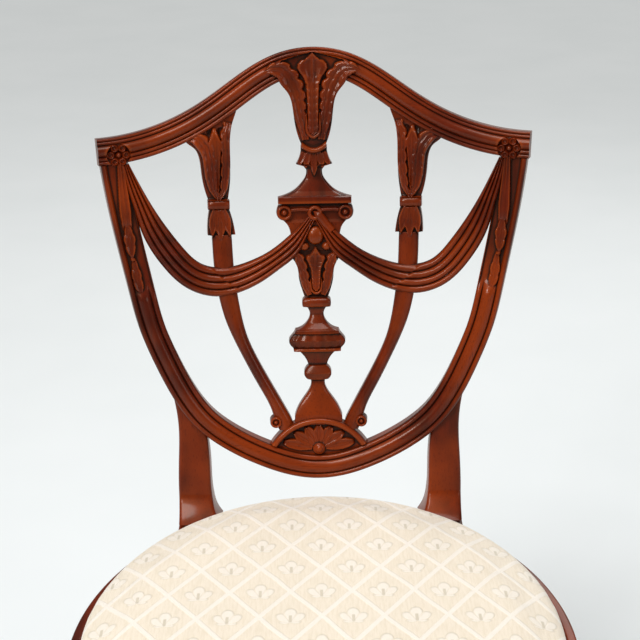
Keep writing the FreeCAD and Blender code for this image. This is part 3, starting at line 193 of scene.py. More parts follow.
class Shells:
    """Closed shells gathered into one mesh, with a hollow value at each point."""

    def __init__(self):
        self.points, self.faces, self.hollow, self.count = [], [], [], 0

    def tube(self, points, hollow=None, capped=True):
        """Add a shell from rows of closed loops."""
        rows, columns = points.shape[:2]
        self.points.append(points.reshape(-1, 3))
        self.faces += (grid_faces(rows, columns, True) + self.count).tolist()
        if capped:
            self.faces.append([self.count + i for i in reversed(range(columns))])
            self.faces.append([self.count + (rows - 1) * columns + i for i in range(columns)])
        values = np.zeros((rows, columns))
        if hollow is not None:
            values[:, :hollow.shape[1]] = hollow
        self.hollow.append(values.reshape(-1))
        self.count += rows * columns
        return self

    def mirrored(self):
        """The same shells on the chair's other side."""
        other = Shells()
        other.points = [points * np.array([-1, 1, 1]) for points in self.points]
        other.faces = [face[::-1] for face in self.faces]
        other.hollow, other.count = list(self.hollow), self.count
        return other

    def made(self, name, material, sharp=50):
        """The finished object."""
        mesh = bpy.data.meshes.new(name)
        mesh.from_pydata(np.concatenate(self.points).tolist(), [], self.faces)
        mesh.validate()
        layer = mesh.attributes.new("hollow", "FLOAT", "POINT")
        layer.data.foreach_set("value", np.concatenate(self.hollow).astype(np.float32))
        work = bmesh_from(mesh)
        work.to_mesh(mesh)
        work.free()
        mesh.polygons.foreach_set("use_smooth", [True] * len(mesh.polygons))
        mesh.set_sharp_from_angle(angle=math.radians(sharp))
        mesh.materials.append(material)
        piece = bpy.data.objects.new(name, mesh)
        bpy.context.scene.collection.objects.link(piece)
        return piece


def bmesh_from(mesh):
    """A bmesh of the mesh with its normals turned outwards."""
    work = bmesh.new()
    work.from_mesh(mesh)
    bmesh.ops.recalc_face_normals(work, faces=work.faces)
    return work


def board_loops(u, w, n, back):
    """Closed loops from a carved front grid: round its edges and across a flat back."""

    def side(column, first, last):
        stops = [first + (last - first) * share for share in (0.2, 0.5, 0.8)]
        return [(u[:, column], w[:, column], stop) for stop in stops]

    floor = np.full(len(u), back)
    columns = side(-1, n[:, -1], floor)
    for share in (0.0, 0.33, 0.67, 1.0):
        at_u = u[:, -1] + (u[:, 0] - u[:, -1]) * share
        at_w = w[:, -1] + (w[:, 0] - w[:, -1]) * share
        columns.append((at_u, at_w, floor))
    columns += side(0, floor, n[:, 0])
    extra_u, extra_w, extra_n = (np.stack([column[i] for column in columns], axis=1) for i in range(3))
    return on_board(np.hstack([u, extra_u]), np.hstack([w, extra_w]), np.hstack([n, extra_n]))


# Carving, as heights over the board's face

def blade(u, w, spine, widths, samples=70):
    """For each place: how far along a leaf it lies (0 root, 1 tip) and how far across it (1 is the edge)."""
    line = evened(smooth(spine, 300), 1.0)
    line = line[np.linspace(0, len(line) - 1, samples).astype(int)]
    along = np.gradient(line, axis=0)
    step = np.linalg.norm(along, axis=1)
    along = along / step[:, None]
    half = np.interp(np.linspace(0, 1, samples), np.linspace(0, 1, len(widths)), widths)
    v = np.full(u.shape, -1.0)
    s = np.full(u.shape, 9.0)
    reach = max(widths) * 1.4 + 2
    near = ((u > line[:, 0].min() - reach) & (u < line[:, 0].max() + reach)
            & (w > line[:, 1].min() - reach) & (w < line[:, 1].max() + reach))
    places = np.stack([u[near], w[near]], axis=1)
    gap = places[:, None, :] - line[None]
    k = (gap ** 2).sum(axis=2).argmin(axis=1)
    gap = gap[np.arange(len(k)), k]
    ahead = (gap * along[k]).sum(axis=1)
    off = gap[:, 0] * along[k][:, 1] - gap[:, 1] * along[k][:, 0]
    share = (k + np.clip(ahead / step[k], -0.5, 0.5)) / (samples - 1)
    beyond = np.where((k == 0) | (k == samples - 1), np.abs(ahead) > step[k] * 0.7, False)
    width = np.interp(share, np.linspace(0, 1, samples), half)
    v[near] = np.clip(share, 0, 1)
    s[near] = np.where(beyond, 9.0, off / np.maximum(width, 0.05))
    return v, s


def leaf(height, u, w, spine, widths, low, rise, lobes=0, notch=0.2, one_side=0, dish=0.45, rib=0.7,
         flutes=0):
    """Raise a carved leaf: hollowed between its mid-rib and a raised, notched rim."""
    v, s = blade(u, w, spine, widths)
    if lobes:
        bite = notch * (0.5 + 0.5 * np.cos(2 * np.pi * (lobes * v + 0.35 * np.abs(s)))) ** 2
        if one_side:
            bite = np.where(s * one_side > 0, bite, 0)
        s = s / (1 - bite)
    a = np.abs(s)
    shape = (1 - dish) + dish * np.clip(a, 0, 1) ** 1.6
    shape = shape * np.sqrt(np.clip(1 - np.clip(a, 0, 1) ** 9, 0, 1)) * (0.72 + 0.28 * v)
    shape = shape * np.sqrt(np.clip(1.02 - v ** 14, 0, 1))
    top = low + rise * shape + rib * np.exp(-(s / 0.16) ** 2) * (1 - 0.6 * v)
    if lobes:
        top = top - 0.16 * rise * a * (0.5 + 0.5 * np.cos(2 * np.pi * (lobes * v + 0.35 * a))) ** 3
    if flutes:
        top = top + 0.09 * rise * np.cos(2 * np.pi * flutes * s)
    return np.where(a < 1, np.maximum(height, top), height)


def cord_ridge(height, u, w, spine, widths, low, rise):
    """Raise a round ridge along a line."""
    _, s = blade(u, w, spine, widths)
    top = low + rise * np.sqrt(np.clip(1 - s ** 2, 0, 1))
    return np.where(np.abs(s) < 1, np.maximum(height, top), height)


def dome(height, u, w, centre, size, low, rise, power=0.5):
    """Raise a round or oval boss."""
    r = ((u - centre[0]) / size[0]) ** 2 + ((w - centre[1]) / size[1]) ** 2
    top = low + rise * np.clip(1 - r, 0, 1) ** power
    return np.where(r < 1, np.maximum(height, top), height)


def pit(height, u, w, centre, size, depth):
    """Sink a soft round hole."""
    r = ((u - centre[0]) / size[0]) ** 2 + ((w - centre[1]) / size[1]) ** 2
    return height - depth * np.exp(-r ** 2)


UPPER_LEAF = ((513.5, 0), (508, 5.6), (505.6, 8.4), (505.2, 12.4), (500.7, 16.4), (496, 17.2), (491.5, 14.5),
              (485, 10), (478, 7.6), (460, 6.3), (440, 6.0), (430, 6.2), (425, 5.0), (422, 1.0))
LOWER_LEAF = ((295.5, 0), (289, 3.6), (285.3, 6.2), (284.2, 10.4), (281, 11.2), (275.5, 8.4), (268, 5.7),
              (252, 4.9), (246, 4.0), (243, 0.8))


def middle_leaf(height, u, w, table, low, rise):
    """The upright leaf in the middle of a cup, from its tip down to its rounded foot."""
    table = np.array(table)
    top, foot = table[0, 0], table[-1, 0]
    half = np.interp(-w, -table[:, 0], table[:, 1])
    s = u / np.maximum(half, 0.05)
    a = np.abs(s)
    v = (w - foot) / (top - foot)
    shape = (0.42 + 0.58 * np.clip(a, 0, 1) ** 1.7) * (0.7 + 0.3 * v)
    wide = step_up(8, 13, half)
    top_n = low + rise * shape * np.sqrt(np.clip(1 - np.clip(a, 0, 1) ** 9, 0, 1))
    top_n = top_n + 1.1 * np.exp(-(u / 1.3) ** 2)
    top_n = top_n + 0.4 * wide * np.cos(2 * np.pi * (1.5 * a + 0.1))
    top_n = top_n - 0.35 * (1 - wide) * np.cos(2 * np.pi * (v * 11 - 0.5 * a)) * a
    return np.where((a < 1) & (w < top) & (w > foot), np.maximum(height, top_n), height)


def upper_cup(height, u, w):
    """The leafed cup under and over the crest's middle."""
    zone = np.interp(-w, (-514, -509, -505, -497, -490, -483, -470, -455, -441, -425, -411),
                     (0, 20, 34, 42, 41, 38, 28.5, 23.3, 21.6, 18.7, 14))
    inside = (np.abs(u) < zone) & (w > 409) & (w < 514)
    ground = np.interp(w, (409, 430, 466, 488), (0.6, -0.6, -0.9, -2.6))
    height = np.where(inside, np.minimum(height, ground), height)
    for side in (1, -1):
        spine = [(9 * side, 417), (10.5 * side, 428), (13.5 * side, 440), (15.8 * side, 455),
                 (19 * side, 470), (25.5 * side, 484), (33.5 * side, 493.5), (43 * side, 495.5),
                 (54.5 * side, 491.8)]
        low = 0.2 + 3.6 * step_up(26, 48, np.abs(u))
        height = leaf(height, u, w, spine, (4.2, 6.0, 7.4, 8.8, 10.8, 12.6, 11.6, 8.4, 1.8), low, 4.0,
                      lobes=9, notch=0.26, one_side=-side, dish=0.35, rib=0.0, flutes=1.6)
    rim = [(-7.4, 446), (-7.6, 434), (-6.6, 425), (0, 419.6), (6.6, 425), (7.6, 434), (7.4, 446)]
    height = cord_ridge(height, u, w, rim, (0.6, 1.4, 2.0, 2.2, 2.0, 1.4, 0.6), 1.6, 3.0)
    return middle_leaf(height, u, w, UPPER_LEAF, 1.6, 4.4)


def skirt(height, u, w):
    """The crescent collar and the five petals that hang from it."""
    inside = (w < 411) & (w > 376)
    height = np.where(inside & (w < 401), np.minimum(height, -1.5), height)
    for foot, tip, level in ((0, 0, 376.5), (5.2, 9.5, 384.5), (-5.2, -9.5, 384.5), (10.5, 17.5, 388),
                             (-10.5, -17.5, 388)):
        spine = [(foot, 403), ((foot + tip) / 2, 396), (tip, level)]
        height = leaf(height, u, w, spine, (2.4, 3.6, 4.4, 3.4, 0.8), 0.4, 3.6, dish=0.5, rib=0.3)
    spine = [(-15, 412.6), (-8, 406.6), (0, 404.2), (8, 406.6), (15, 412.6)]
    height = np.where(inside & (np.abs(u) < 15.4) & (w > 404 + u * u * 0.03), np.minimum(height, 0.4), height)
    return cord_ridge(height, u, w, spine, (2.6, 2.9, 3.1, 2.9, 2.6), 1.4, 3.6)


def lower_cup(height, u, w):
    """The smaller leafed cup above the urn."""
    height = np.where((w < 290) & (w > 237), np.minimum(height, -2.4), height)
    for side in (1, -1):
        spine = [(7.5 * side, 238), (11 * side, 249), (13.6 * side, 262), (16 * side, 273),
                 (19.6 * side, 283), (24.6 * side, 289.5)]
        height = leaf(height, u, w, spine, (2.6, 5.0, 5.8, 6.2, 6.4, 1.6), 0.0, 4.2, lobes=5, notch=0.3,
                      one_side=-side, dish=0.3, rib=0, flutes=1.4)
        height = dome(height, u, w, (12.5 * side, 295), (5, 4.4), 0, 3.4)
    rim = [(-6, 258), (-6.2, 250), (-5, 244), (0, 240.8), (5, 244), (6.2, 250), (6, 258)]
    height = cord_ridge(height, u, w, rim, (0.5, 1.2, 1.6, 1.8, 1.6, 1.2, 0.5), 1.2, 2.8)
    height = middle_leaf(height, u, w, LOWER_LEAF, 1.4, 3.8)
    return dome(height, u, w, (0, 307.5), (9.6, 10.6), -1.0, 6.0)


# Mouldings

def member_profile(t, members, crowns):
    """Height of a row of reeds at a distance t in from the outline."""
    n = np.full(t.shape, VALLEY)
    start = 0.0
    for wide, crown in zip(members, crowns):
        share = (t - start) / wide
        reed = VALLEY + (crown - VALLEY) * np.clip(np.sin(np.pi * np.clip(share, 0, 1)), 0, 1) ** 0.62
        n = np.where((share > 0) & (share < 1), reed, n)
        start += wide
    return n


def moulding(shells, line, members, crowns, width, carve=None, columns=56):
    """Sweep a moulding along an outline, with carving added to its face."""
    inward = inward_normals(line)
    t = np.linspace(0, width, columns)
    u = line[:, :1] + inward[:, :1] * t
    w = line[:, 1:] + inward[:, 1:] * t
    n = np.broadcast_to(member_profile(t, members, crowns), u.shape).copy()
    if carve:
        n = carve(n, u, w, t)
    return shells.tube(board_loops(u, w, n, -BOARD_THICKNESS), hollows(n))


def crest_carving(n, u, w, t):
    """Reeds stop at the flowers in the corners and at the leaves in the middle."""
    n = upper_cup(n, u, w)
    for side in (1, -1):
        near = np.hypot(u - side * FLOWER_U, w - FLOWER_W) < FLOWER_SINK
        n = np.where(near, np.minimum(n, -1.0), n)
    return n


def handed(side, points):
    """Points of the +X half of the board, put on the side asked for."""
    return [(side * u, w) for u, w in points]


def stile_carving(n, u, w, t):
    """A strap with two drops of husks in the upper part of the shield's side."""
    upper = step_up(238, 262, w)
    ground = np.where((t > 6.4) & (t < 26.5), -1.6, n)
    n = n * (1 - upper) + np.minimum(n, ground) * upper
    side = np.sign(u.mean())
    near = np.hypot(u - side * FLOWER_U, w - FLOWER_W) < FLOWER_SINK
    n = np.where(near, np.minimum(n, -1.0), n)
    strap = handed(side, [(216, 396), (214.6, 372), (213.2, 350), (212.0, 330), (211.4, 322)])
    n = leaf(n, u, w, strap, (3.4, 4.4, 5.6, 6.4, 5.2), -0.6, 5.2, dish=0.3, rib=0.8, flutes=1.0)
    husk = handed(side, [(211.4, 326), (209.6, 312), (208.4, 298), (207.2, 286)])
    n = leaf(n, u, w, husk, (2.2, 5.4, 6.8, 6.4, 4.2, 0.8), -0.4, 5.2, lobes=3, notch=0.16, dish=0.45,
             rib=1.0)
    drop = handed(side, [(205.6, 287), (203.8, 272), (201.6, 258), (197.6, 244)])
    n = leaf(n, u, w, drop, (1.6, 4.2, 5.6, 6.0, 4.6, 0.8), -0.4, 5.0, lobes=3, notch=0.16, dish=0.45,
             rib=1.0)
    bead = handed(side, [(207, 289), (206.2, 286)])
    return cord_ridge(n, u, w, bead, (2.6, 2.6), 0.0, 3.6)


def round_piece(shells, centre, radius, face, base, back, rings=26, spokes=96):
    """A turned or petalled disc on the board. face(r, angle) gives its height, r from 0 to 1 at the rim."""
    r = np.concatenate([np.linspace(0.01, 1, rings), [1.0, 1.0]])
    angle = np.linspace(0, 2 * np.pi, spokes, endpoint=False)
    r_grid, a_grid = np.meshgrid(r, angle, indexing="ij")
    n = base + face(r_grid, a_grid)
    n[-2] = (base + back) / 2
    n[-1] = back
    u = centre[0] + radius * r_grid * np.sin(a_grid)
    w = centre[1] + radius * r_grid * np.cos(a_grid)
    # Painted shade: the lower rings and petals of the disc get a hollow value that darkens them in the wood.
    low = np.clip((n[:-2].max() - n) / max(0.1, np.ptp(n[:-2])), 0, 1)
    return shells.tube(on_board(u, w, n), low * 1.2 - 0.75)


def flower_face(r, angle):
    """Six petals with raised rims and hollow middles round a boss."""
    petal = np.abs(((angle / (2 * np.pi) * 6) % 1) - 0.5) * 2
    x, y = (r - 0.66) / 0.34, petal * r * 1.55
    d = np.hypot(x, y)
    rim = 3.6 * np.exp(-((d - 0.72) / 0.28) ** 2) + 1.6 * np.clip(1 - d, 0, 1)
    return np.maximum(rim, 5.0 * np.clip(1 - (r / 0.24) ** 2, 0, 1) ** 0.5)


def ring_face(r, angle):
    """A rolled scroll end: outer ring, groove and boss."""
    ring = 3.4 * np.sqrt(np.clip(1 - ((r - 0.76) / 0.24) ** 2, 0, 1))
    return np.maximum(ring, 3.6 * np.sqrt(np.clip(1 - (r / 0.38) ** 2, 0, 1)))


def hoop_face(r, angle):
    """A plain ring round a dark hole."""
    return 4.4 * np.sqrt(np.clip(1 - ((r - 0.7) / 0.3) ** 2, 0, 1)) - 2.2 * (r < 0.38)


# The splats

CENTRE_HALF = [[(38.5, 492), (38, 483), (28, 469), (23.3, 455), (21.6, 441), (18.7, 425), (13.8, 411)],
               [(14.8, 410), (14.8, 403)], [(15, 402.5), (16.5, 397), (20.4, 389)], [(12, 386.5), (9, 382)],
               [(9, 381.9), (9.6, 375.5), (14.5, 367.5), (22.5, 359.5), (32, 354.4), (41.7, 351.5)],
               [(41.7, 351.4), (41.7, 344)], [(38, 343.9), (38, 342.4)],
               [(41.5, 342), (43.4, 334), (37, 325.2)], [(36.5, 325), (31, 319), (28.4, 311), (28.2, 298),
                                                         (28.4, 285), (21.8, 273), (19.9, 259.5), (16.5, 245),
                                                         (13, 235)],
               [(13.2, 234.9), (15.6, 233), (16.6, 228.5), (15.6, 224)],
               [(11.5, 223.9), (7.9, 215), (14.5, 202), (25, 197)],
               [(25, 196.9), (26.5, 193.5), (32.4, 185), (27.5, 175.5)], [(27.6, 175.3), (27.2, 171.8)],
               [(21, 171.7), (13.7, 162.5), (10.6, 154.5)], [(10.7, 154.4), (15.8, 145), (11.2, 137.4)],
               [(8.4, 137.3), (8.2, 130), (10.6, 124), (16.8, 114.7), (23.2, 104.6), (27.5, 94)],
               [(27.6, 93.9), (27.8, 84)]]
CENTRE_DEPTHS = ((492, 2), (470, 2.5), (430, 1), (411, -1), (402, 0), (390, 1.5), (386.5, 1), (385, -3),
                 (372, -3.4), (358, -0.5), (352.6, 1.8), (351.5, 5.4), (344.2, 5.4), (343.9, -3.4),
                 (326, -3.4), (322, -1.6), (290, -1.6), (283, -0.5), (250, 0), (236, -1), (235, 0.8),
                 (234.4, 3.0), (232.5, 4.6), (229.4, 5.2), (226.2, 4.4), (224.4, 2.4), (224, 0.8),
                 (223.8, -2.6), (215, -4.6), (205, -1.6), (199, 3.2), (196.8, 5.8), (193.6, 6.4),
                 (192.4, 4.0), (185, 6.2), (176, 3.2), (175.2, 6.0), (171.9, 6.0), (171.7, 0.0), (163, -2.6),
                 (155, -3.2), (154.4, 0.4), (146, 4.2), (138, 1.0), (137.3, -4.2), (124, -3), (108, -0.4),
                 (96, 1.2), (84, 1))
CENTRE_ROUND = ((492, 0.6), (411, 0.8), (402, 1.5), (386, 2), (384, 3.4), (360, 2.6), (352, 0.8), (325, 0.8),
                (236, 1.6), (234, 3.4), (224, 4.2), (204, 5), (197, 2.5), (192, 6.5), (176, 6.5), (171, 3.2),
                (155, 4.2), (137, 4.4), (110, 4.0), (84, 3.2))


def step_rows(runs, spacing):
    """(half width, w) rows down an outline given in runs, close set and with its ledges kept sharp."""
    rows = [evened(smooth(run, 200), spacing) for run in runs]
    return np.concatenate(rows)


def centre_grid():
    """The centre splat's face as grids of u, w and n."""
    rows = step_rows(CENTRE_HALF, 0.7)
    s = np.sin(np.linspace(-np.pi / 2, np.pi / 2, 89)) * 0.35 + np.linspace(-1, 1, 89) * 0.65
    u = rows[:, :1] * s
    w = np.broadcast_to(rows[:, 1:], u.shape).copy()
    levels = np.array(CENTRE_DEPTHS)[::-1]
    n = np.interp(w, levels[:, 0], levels[:, 1])
    drop = np.array(CENTRE_ROUND)[::-1]
    n -= np.interp(w, drop[:, 0], drop[:, 1]) * (1 - np.sqrt(np.clip(1 - 0.96 * np.abs(s) ** 2.6, 0, 1)))
    neck = (w < 384) & (w > 353)
    n = np.where(neck, n - 2.4 * step_up(0.82, 0.9, np.abs(s)), n)
    bulge = np.clip(1 - ((w - 184) / 9.0) ** 2, 0, 1) ** 0.5
    flute = np.cos(np.arcsin(np.clip(s, -1, 1)) * 15)
    n += 0.4 * bulge * flute * (np.abs(s) < 0.97)
    n = upper_cup(n, u, w)
    n = skirt(n, u, w)
    n = lower_cup(n, u, w)
    return u, w, n


def centre_splat():
    """Leafed cup, plinth with its three scrolls, lower cup and urn."""
    u, w, n = centre_grid()
    shells = Shells().tube(board_loops(u, w, n, SPLAT_BACK), hollows(n))
    for side in (1, -1):
        round_piece(shells, (side * 34.8, 334.0), 9.0, ring_face, -1.0, -14)
        bar = evened(smooth([(side * 7.5, 337), (side * 17, 337.6), (side * 27, 337)], 60), 0.8)
        shells.tube(rod(bar, 1.9, 2.2))
    round_piece(shells, (0, 333.6), 9.0, hoop_face, 0.4, -10)
    nose = evened(smooth([(-1.6, 335.6), (4.5, 330.5), (12, 321.5), (19, 313)], 60), 0.8)
    rounded = 5.0 * np.sin(np.clip(np.linspace(0.1, 5, len(nose)), 0, np.pi / 2))[:, None]
    shells.tube(rod(nose, rounded, 1.8))
    return shells


def rod(line, radius, level):
    """Loops of a round bar that lies along a line on the board."""
    along = np.gradient(line, axis=0)
    along /= np.linalg.norm(along, axis=1)[:, None]
    angle = np.linspace(0, 2 * np.pi, 14, endpoint=False)
    u = line[:, :1] - along[:, 1:] * radius * np.cos(angle)
    w = line[:, 1:] + along[:, :1] * radius * np.cos(angle)
    return on_board(u, w, level + radius * np.sin(angle) + 0 * u)


SIDE_OUTER = [[(84, 462), (90, 458.5)], [(90, 458.4), (110, 447), (130, 435), (146, 425)],
              [(146, 424.9), (143, 416.5), (134, 409), (128.8, 398), (127, 383), (125, 368), (120.2, 350.2)],
              [(121, 350.1), (121, 339.8)], [(119.4, 339.7), (121.9, 322), (122.1, 310.5)],
              [(117.4, 310.4), (117.2, 304), (116.1, 276), (111.8, 240), (105.2, 212), (96, 188),
               (84, 162), (68, 130), (55, 103), (50, 87), (46.5, 78)]]
SIDE_INNER = [[(84, 462), (86, 451), (91.5, 435), (94.5, 405), (95.2, 372), (98.4, 350.2)],
              [(96.6, 350.1), (96.6, 339.8)], [(97.2, 339.7), (93, 324), (91, 310.5)],
              [(95.3, 310.4), (95, 304), (94, 276), (90.6, 242), (86.5, 216), (80, 189), (69.6, 164),
               (52.3, 130), (35, 97), (30.5, 86), (30, 78)]]
SIDE_DEPTHS = ((462, 0.5), (400, -0.6), (352, -1.6), (350.1, 3.6), (339.8, 3.6), (339.6, -1.4), (320, -0.6),
               (310.5, 0.4), (310.3, -1.0), (280, -0.6), (200, -0.6), (86, -0.8))


def edge_at(runs, w):
    """An edge's u at heights w, from runs that go down it."""
    line = np.concatenate([smooth(run, 160) for run in runs])[::-1]
    return np.interp(w, line[:, 1], line[:, 0])


def side_splat():
    """A leafed cup and husk on a long ribbed shaft, on the +X side."""
    marks = [450.0, 425, 350.15, 350.0, 339.85, 339.7, 310.45, 310.35]
    heights = np.sort(np.concatenate([np.arange(78, 461.8, 0.75), marks]))[::-1]
    outer, inner = edge_at(SIDE_OUTER, heights), edge_at(SIDE_INNER, heights)
    s = np.sin(np.linspace(-np.pi / 2, np.pi / 2, 61)) * 0.3 + np.linspace(-1, 1, 61) * 0.7
    u = (outer + inner)[:, None] / 2 + (outer - inner)[:, None] / 2 * s
    w = np.broadcast_to(heights[:, None], u.shape).copy()
    levels = np.array(SIDE_DEPTHS)[::-1]
    n = np.interp(w, levels[:, 0], levels[:, 1])
    shaft = np.where(w < 310.4, 1.0, 0.0)
    n += shaft * (3.0 - 4.2 * np.abs(s) ** 2)
    collar = (w < 350.1) & (w > 339.8)
    n = np.where(collar, 0.8 + 3.6 * np.sqrt(np.clip(1 - ((w - 344.95) / 5.2) ** 2, 0, 1)), n)
    n -= np.where(collar, 2.4 * np.abs(s) ** 4, 1.6 * np.abs(s) ** 6)
    n = np.where(w > 352, np.minimum(n, -1.3), n)
    outer_edge = [(108.5, 352), (113.4, 361), (116, 374), (117, 388), (118.4, 402), (124, 414), (136, 423)]
    n = leaf(n, u, w, outer_edge, (2.4, 5.2, 7.0, 7.6, 8.2, 9.0, 7.0), -0.4, 4.8, lobes=6, notch=0.3,
             one_side=-1, dish=0.3, rib=0, flutes=1.4)
    inner_edge = [(108.5, 352), (103.6, 361), (101.2, 374), (100, 388), (99.4, 402), (99.6, 416), (96, 436)]
    n = leaf(n, u, w, inner_edge, (2.4, 4.4, 5.4, 5.8, 6.2, 6.6, 5.4), -0.4, 4.8, lobes=6, notch=0.3,
             one_side=1, dish=0.3, rib=0, flutes=1.4)
    n = leaf(n, u, w, [(109, 358), (109.6, 380), (110.6, 404), (111.5, 430)], (0.8, 2.4, 3.6, 5.6, 7.4, 2.0),
             0.0, 5.0, dish=0.5, rib=1.2)
    for place in ((104.6, 427), (117.0, 428.5)):
        n = pit(n, u, w, place, (3.2, 5.0), 2.4)
    bell = (w < 339.6) & (w > 303)
    n = np.where(bell & (w > 310.4), np.minimum(n, -1.6), n)
    for foot, tip, level, wide in ((104.6, 97, 309, 5.6), (112.6, 117.6, 308.5, 5.6),
                                   (108.6, 107.4, 303, 6.6)):
        n = leaf(n, u, w, [(foot, 340), ((foot + tip) / 2, 325), (tip, level)],
                 (3.2, wide * 0.85, wide, wide * 0.9, wide * 0.5, 0.6), 0.4, 4.0, dish=0.5, rib=0.9)
    shells = Shells().tube(board_loops(u, w, n, SPLAT_BACK), hollows(n))
    return round_piece(shells, (50.0, 88.0), 6.8, ring_face, 0.6, -14)


def lunette():
    """A beaded arch over seven pointed petals and a boss."""
    angle = np.radians(np.linspace(-73, 73, 260))[:, None]
    first = (41.0 - LUNETTE_W) / np.cos(angle)
    share = np.linspace(0, 1, 80)
    r = first + (LUNETTE_RADIUS - first) * share
    u, w = r * np.sin(angle), LUNETTE_W + r * np.cos(angle)
    n = np.full(u.shape, -4.4)
    for tip in ((0, 82.5), (14.5, 80.5), (-14.5, 80.5), (28.5, 74), (-28.5, 74), (41, 62.5), (-41, 62.5)):
        spine = [(0.18 * tip[0], 54 + 0.18 * (tip[1] - 54)), tip]
        n = leaf(n, u, w, spine, (2.4, 4.8, 6.4, 6.6, 5.6, 2.8), -3.6, 4.6, dish=0.5, rib=0.8)
    n = dome(n, u, w, (0, 54.5), (7.4, 7.2), -2.0, 5.4)
    n = dome(n, u, w, (0, 54.5), (4.0, 4.0), 2.0, 2.8)
    across = (LUNETTE_RADIUS - r) / LUNETTE_BEAD
    bead = 1.2 + 4.2 * np.sqrt(np.clip(1 - (2 * across / 0.86 - 1) ** 2, 0, 1))
    n = np.where(across < 0.86, bead, np.where(across < 1.0, -2.0, n))
    stile = both_sides(STILE_LINE)[::10]
    gap = np.hypot(u[..., None] - stile[:, 0], w[..., None] - stile[:, 1]).min(axis=2)
    n = np.where(gap < STILE_WIDTH + 0.5, np.minimum(n, -4.0), n)
    return Shells().tube(board_loops(u, w, n, SPLAT_BACK), hollows(n))


SWAG_STATIONS = (((206.8, 395), (213.5, 392), -7.5), ((197, 374), (209.6, 368.5), -7.5),
                 ((184.6, 349.5), (202.4, 341), -7), ((171, 326.5), (193.6, 311.6), -5.5),
                 ((150, 297), (174, 277.5), -3), ((132, 279.4), (150.6, 253), -1.7),
                 ((112, 273.4), (113.7, 240), -1.7), ((92, 274.8), (82, 246), -1.7),
                 ((73.6, 280.6), (61, 256.2), -1.7), ((52.3, 291), (40.3, 270.4), -0.7),
                 ((33, 305.5), (19.6, 288), -0.7), ((17, 320), (8.5, 309), -0.7),
                 ((7, 331), (0.5, 325), -0.7))


def swag():
    """A hanging cloth of round folds, from the corner flower to the middle ring, on the +X side."""
    upper = smooth([station[0] for station in SWAG_STATIONS], 420)
    lower = smooth([station[1] for station in SWAG_STATIONS], 420)
    back = np.interp(np.linspace(0, 1, 420), np.linspace(0, 1, len(SWAG_STATIONS)),
                     [s[2] for s in SWAG_STATIONS])
    t = np.linspace(0, 1, 72)
    u = upper[:, :1] + (lower - upper)[:, :1] * t
    w = upper[:, 1:] + (lower - upper)[:, 1:] * t
    along = np.linspace(0, 1, 420)[:, None]
    wide = np.linalg.norm(lower - upper, axis=1)[:, None]
    crown = np.minimum(7.6, 0.42 * wide + 1.2)
    bend = t + 0.05 * np.sin(2 * np.pi * (along * 1.3 + 0.2)) * np.sin(np.pi * t)
    outer = np.abs(np.sin(np.pi * 4 * bend ** 0.93)) ** 0.7
    inner = np.abs(np.sin(np.pi * 4 * (1 - (1 - bend) ** 0.93))) ** 0.7
    border = 116 - 36 * (t - 0.1)
    over = step_up(-2.2, 2.2, u - border)
    folds = inner * (1 - over) + outer * over
    body = np.sqrt(np.clip(1 - (2 * t - 1) ** 2 * 0.82, 0, 1))
    n = crown * (0.42 * body + 0.5 * folds * (0.55 + 0.45 * body))
    n = n + 0.9 * over * np.exp(-((u - border) / 9) ** 2) * folds
    loops = board_loops(u, w, n, -6.0)
    shells = Shells()
    deep = n.shape[1]
    floor = on_board(u[:, -1:], w[:, -1:], np.minimum(back, -0.7)[:, None])
    ceiling = on_board(u[:, :1], w[:, :1], np.minimum(back, -0.7)[:, None])
    loops = np.concatenate([loops[:, :deep], floor, ceiling], axis=1)
    # Painted shade: the folds' hollows darken the wood a little more than elsewhere.
    return shells.tube(loops, hollows(n) * 1.1)


# Seat frame and legs

def arc(centre, radius, first, last, count):
    """Points along part of a circle."""
    angle = np.linspace(first, last, count)
    return np.stack([centre[0] + radius * np.cos(angle), centre[1] + radius * np.sin(angle)], axis=1)


def seat_outline(spacing=4.0):
    """The outer line of the seat rails, clockwise from the middle of the back, before it was centred."""
    theta = np.linspace(0, np.pi / 2, 300)
    rear = np.stack([SEAT_HALF_WIDTH * np.sin(theta), SEAT_WIDEST_Y + SEAT_BACK_REACH * np.cos(theta)],
                    axis=1)
    side_centre = np.array([SEAT_HALF_WIDTH - SIDE_SWEEP_RADIUS, SEAT_WIDEST_Y])
    front_centre = np.array([0.0, SEAT_FRONT_Y + FRONT_BOW_RADIUS])
    a, b = SIDE_SWEEP_RADIUS - FRONT_CORNER_RADIUS, FRONT_BOW_RADIUS - FRONT_CORNER_RADIUS
    span = front_centre - side_centre
    d = np.linalg.norm(span)
    x = (a * a - b * b + d * d) / (2 * d)
    way = span / d
    corner = side_centre + way * x + np.array([way[1], -way[0]]) * math.sqrt(a * a - x * x)
    side_end = math.atan2(*(corner - side_centre)[::-1])
    front_start = math.atan2(*(corner - front_centre)[::-1])
    side = arc(side_centre, SIDE_SWEEP_RADIUS, 0, side_end, 120)
    turn = arc(corner, FRONT_CORNER_RADIUS, side_end, front_start, 60)
    front = arc(front_centre, FRONT_BOW_RADIUS, front_start, -math.pi / 2, 160)
    return evened(np.concatenate([rear, side[1:], turn[1:], front[1:]]), spacing)


def drawn_in(line, inset):
    """The seat's plan drawn in by inset, as the source does it."""
    half_depth = (SEAT_WIDEST_Y + SEAT_BACK_REACH - SEAT_FRONT_Y) / 2
    middle = (SEAT_WIDEST_Y + SEAT_BACK_REACH + SEAT_FRONT_Y) / 2
    return np.stack([line[:, 0] * (SEAT_HALF_WIDTH - inset) / SEAT_HALF_WIDTH,
                     middle + (line[:, 1] - middle) * (half_depth - inset) / half_depth], axis=1)


def in_world(x, y, z):
    """World places, in metres, of points of the source's own plan."""
    return np.stack(np.broadcast_arrays(x, y + SHIFT_Y, z), axis=-1) / 1000.0


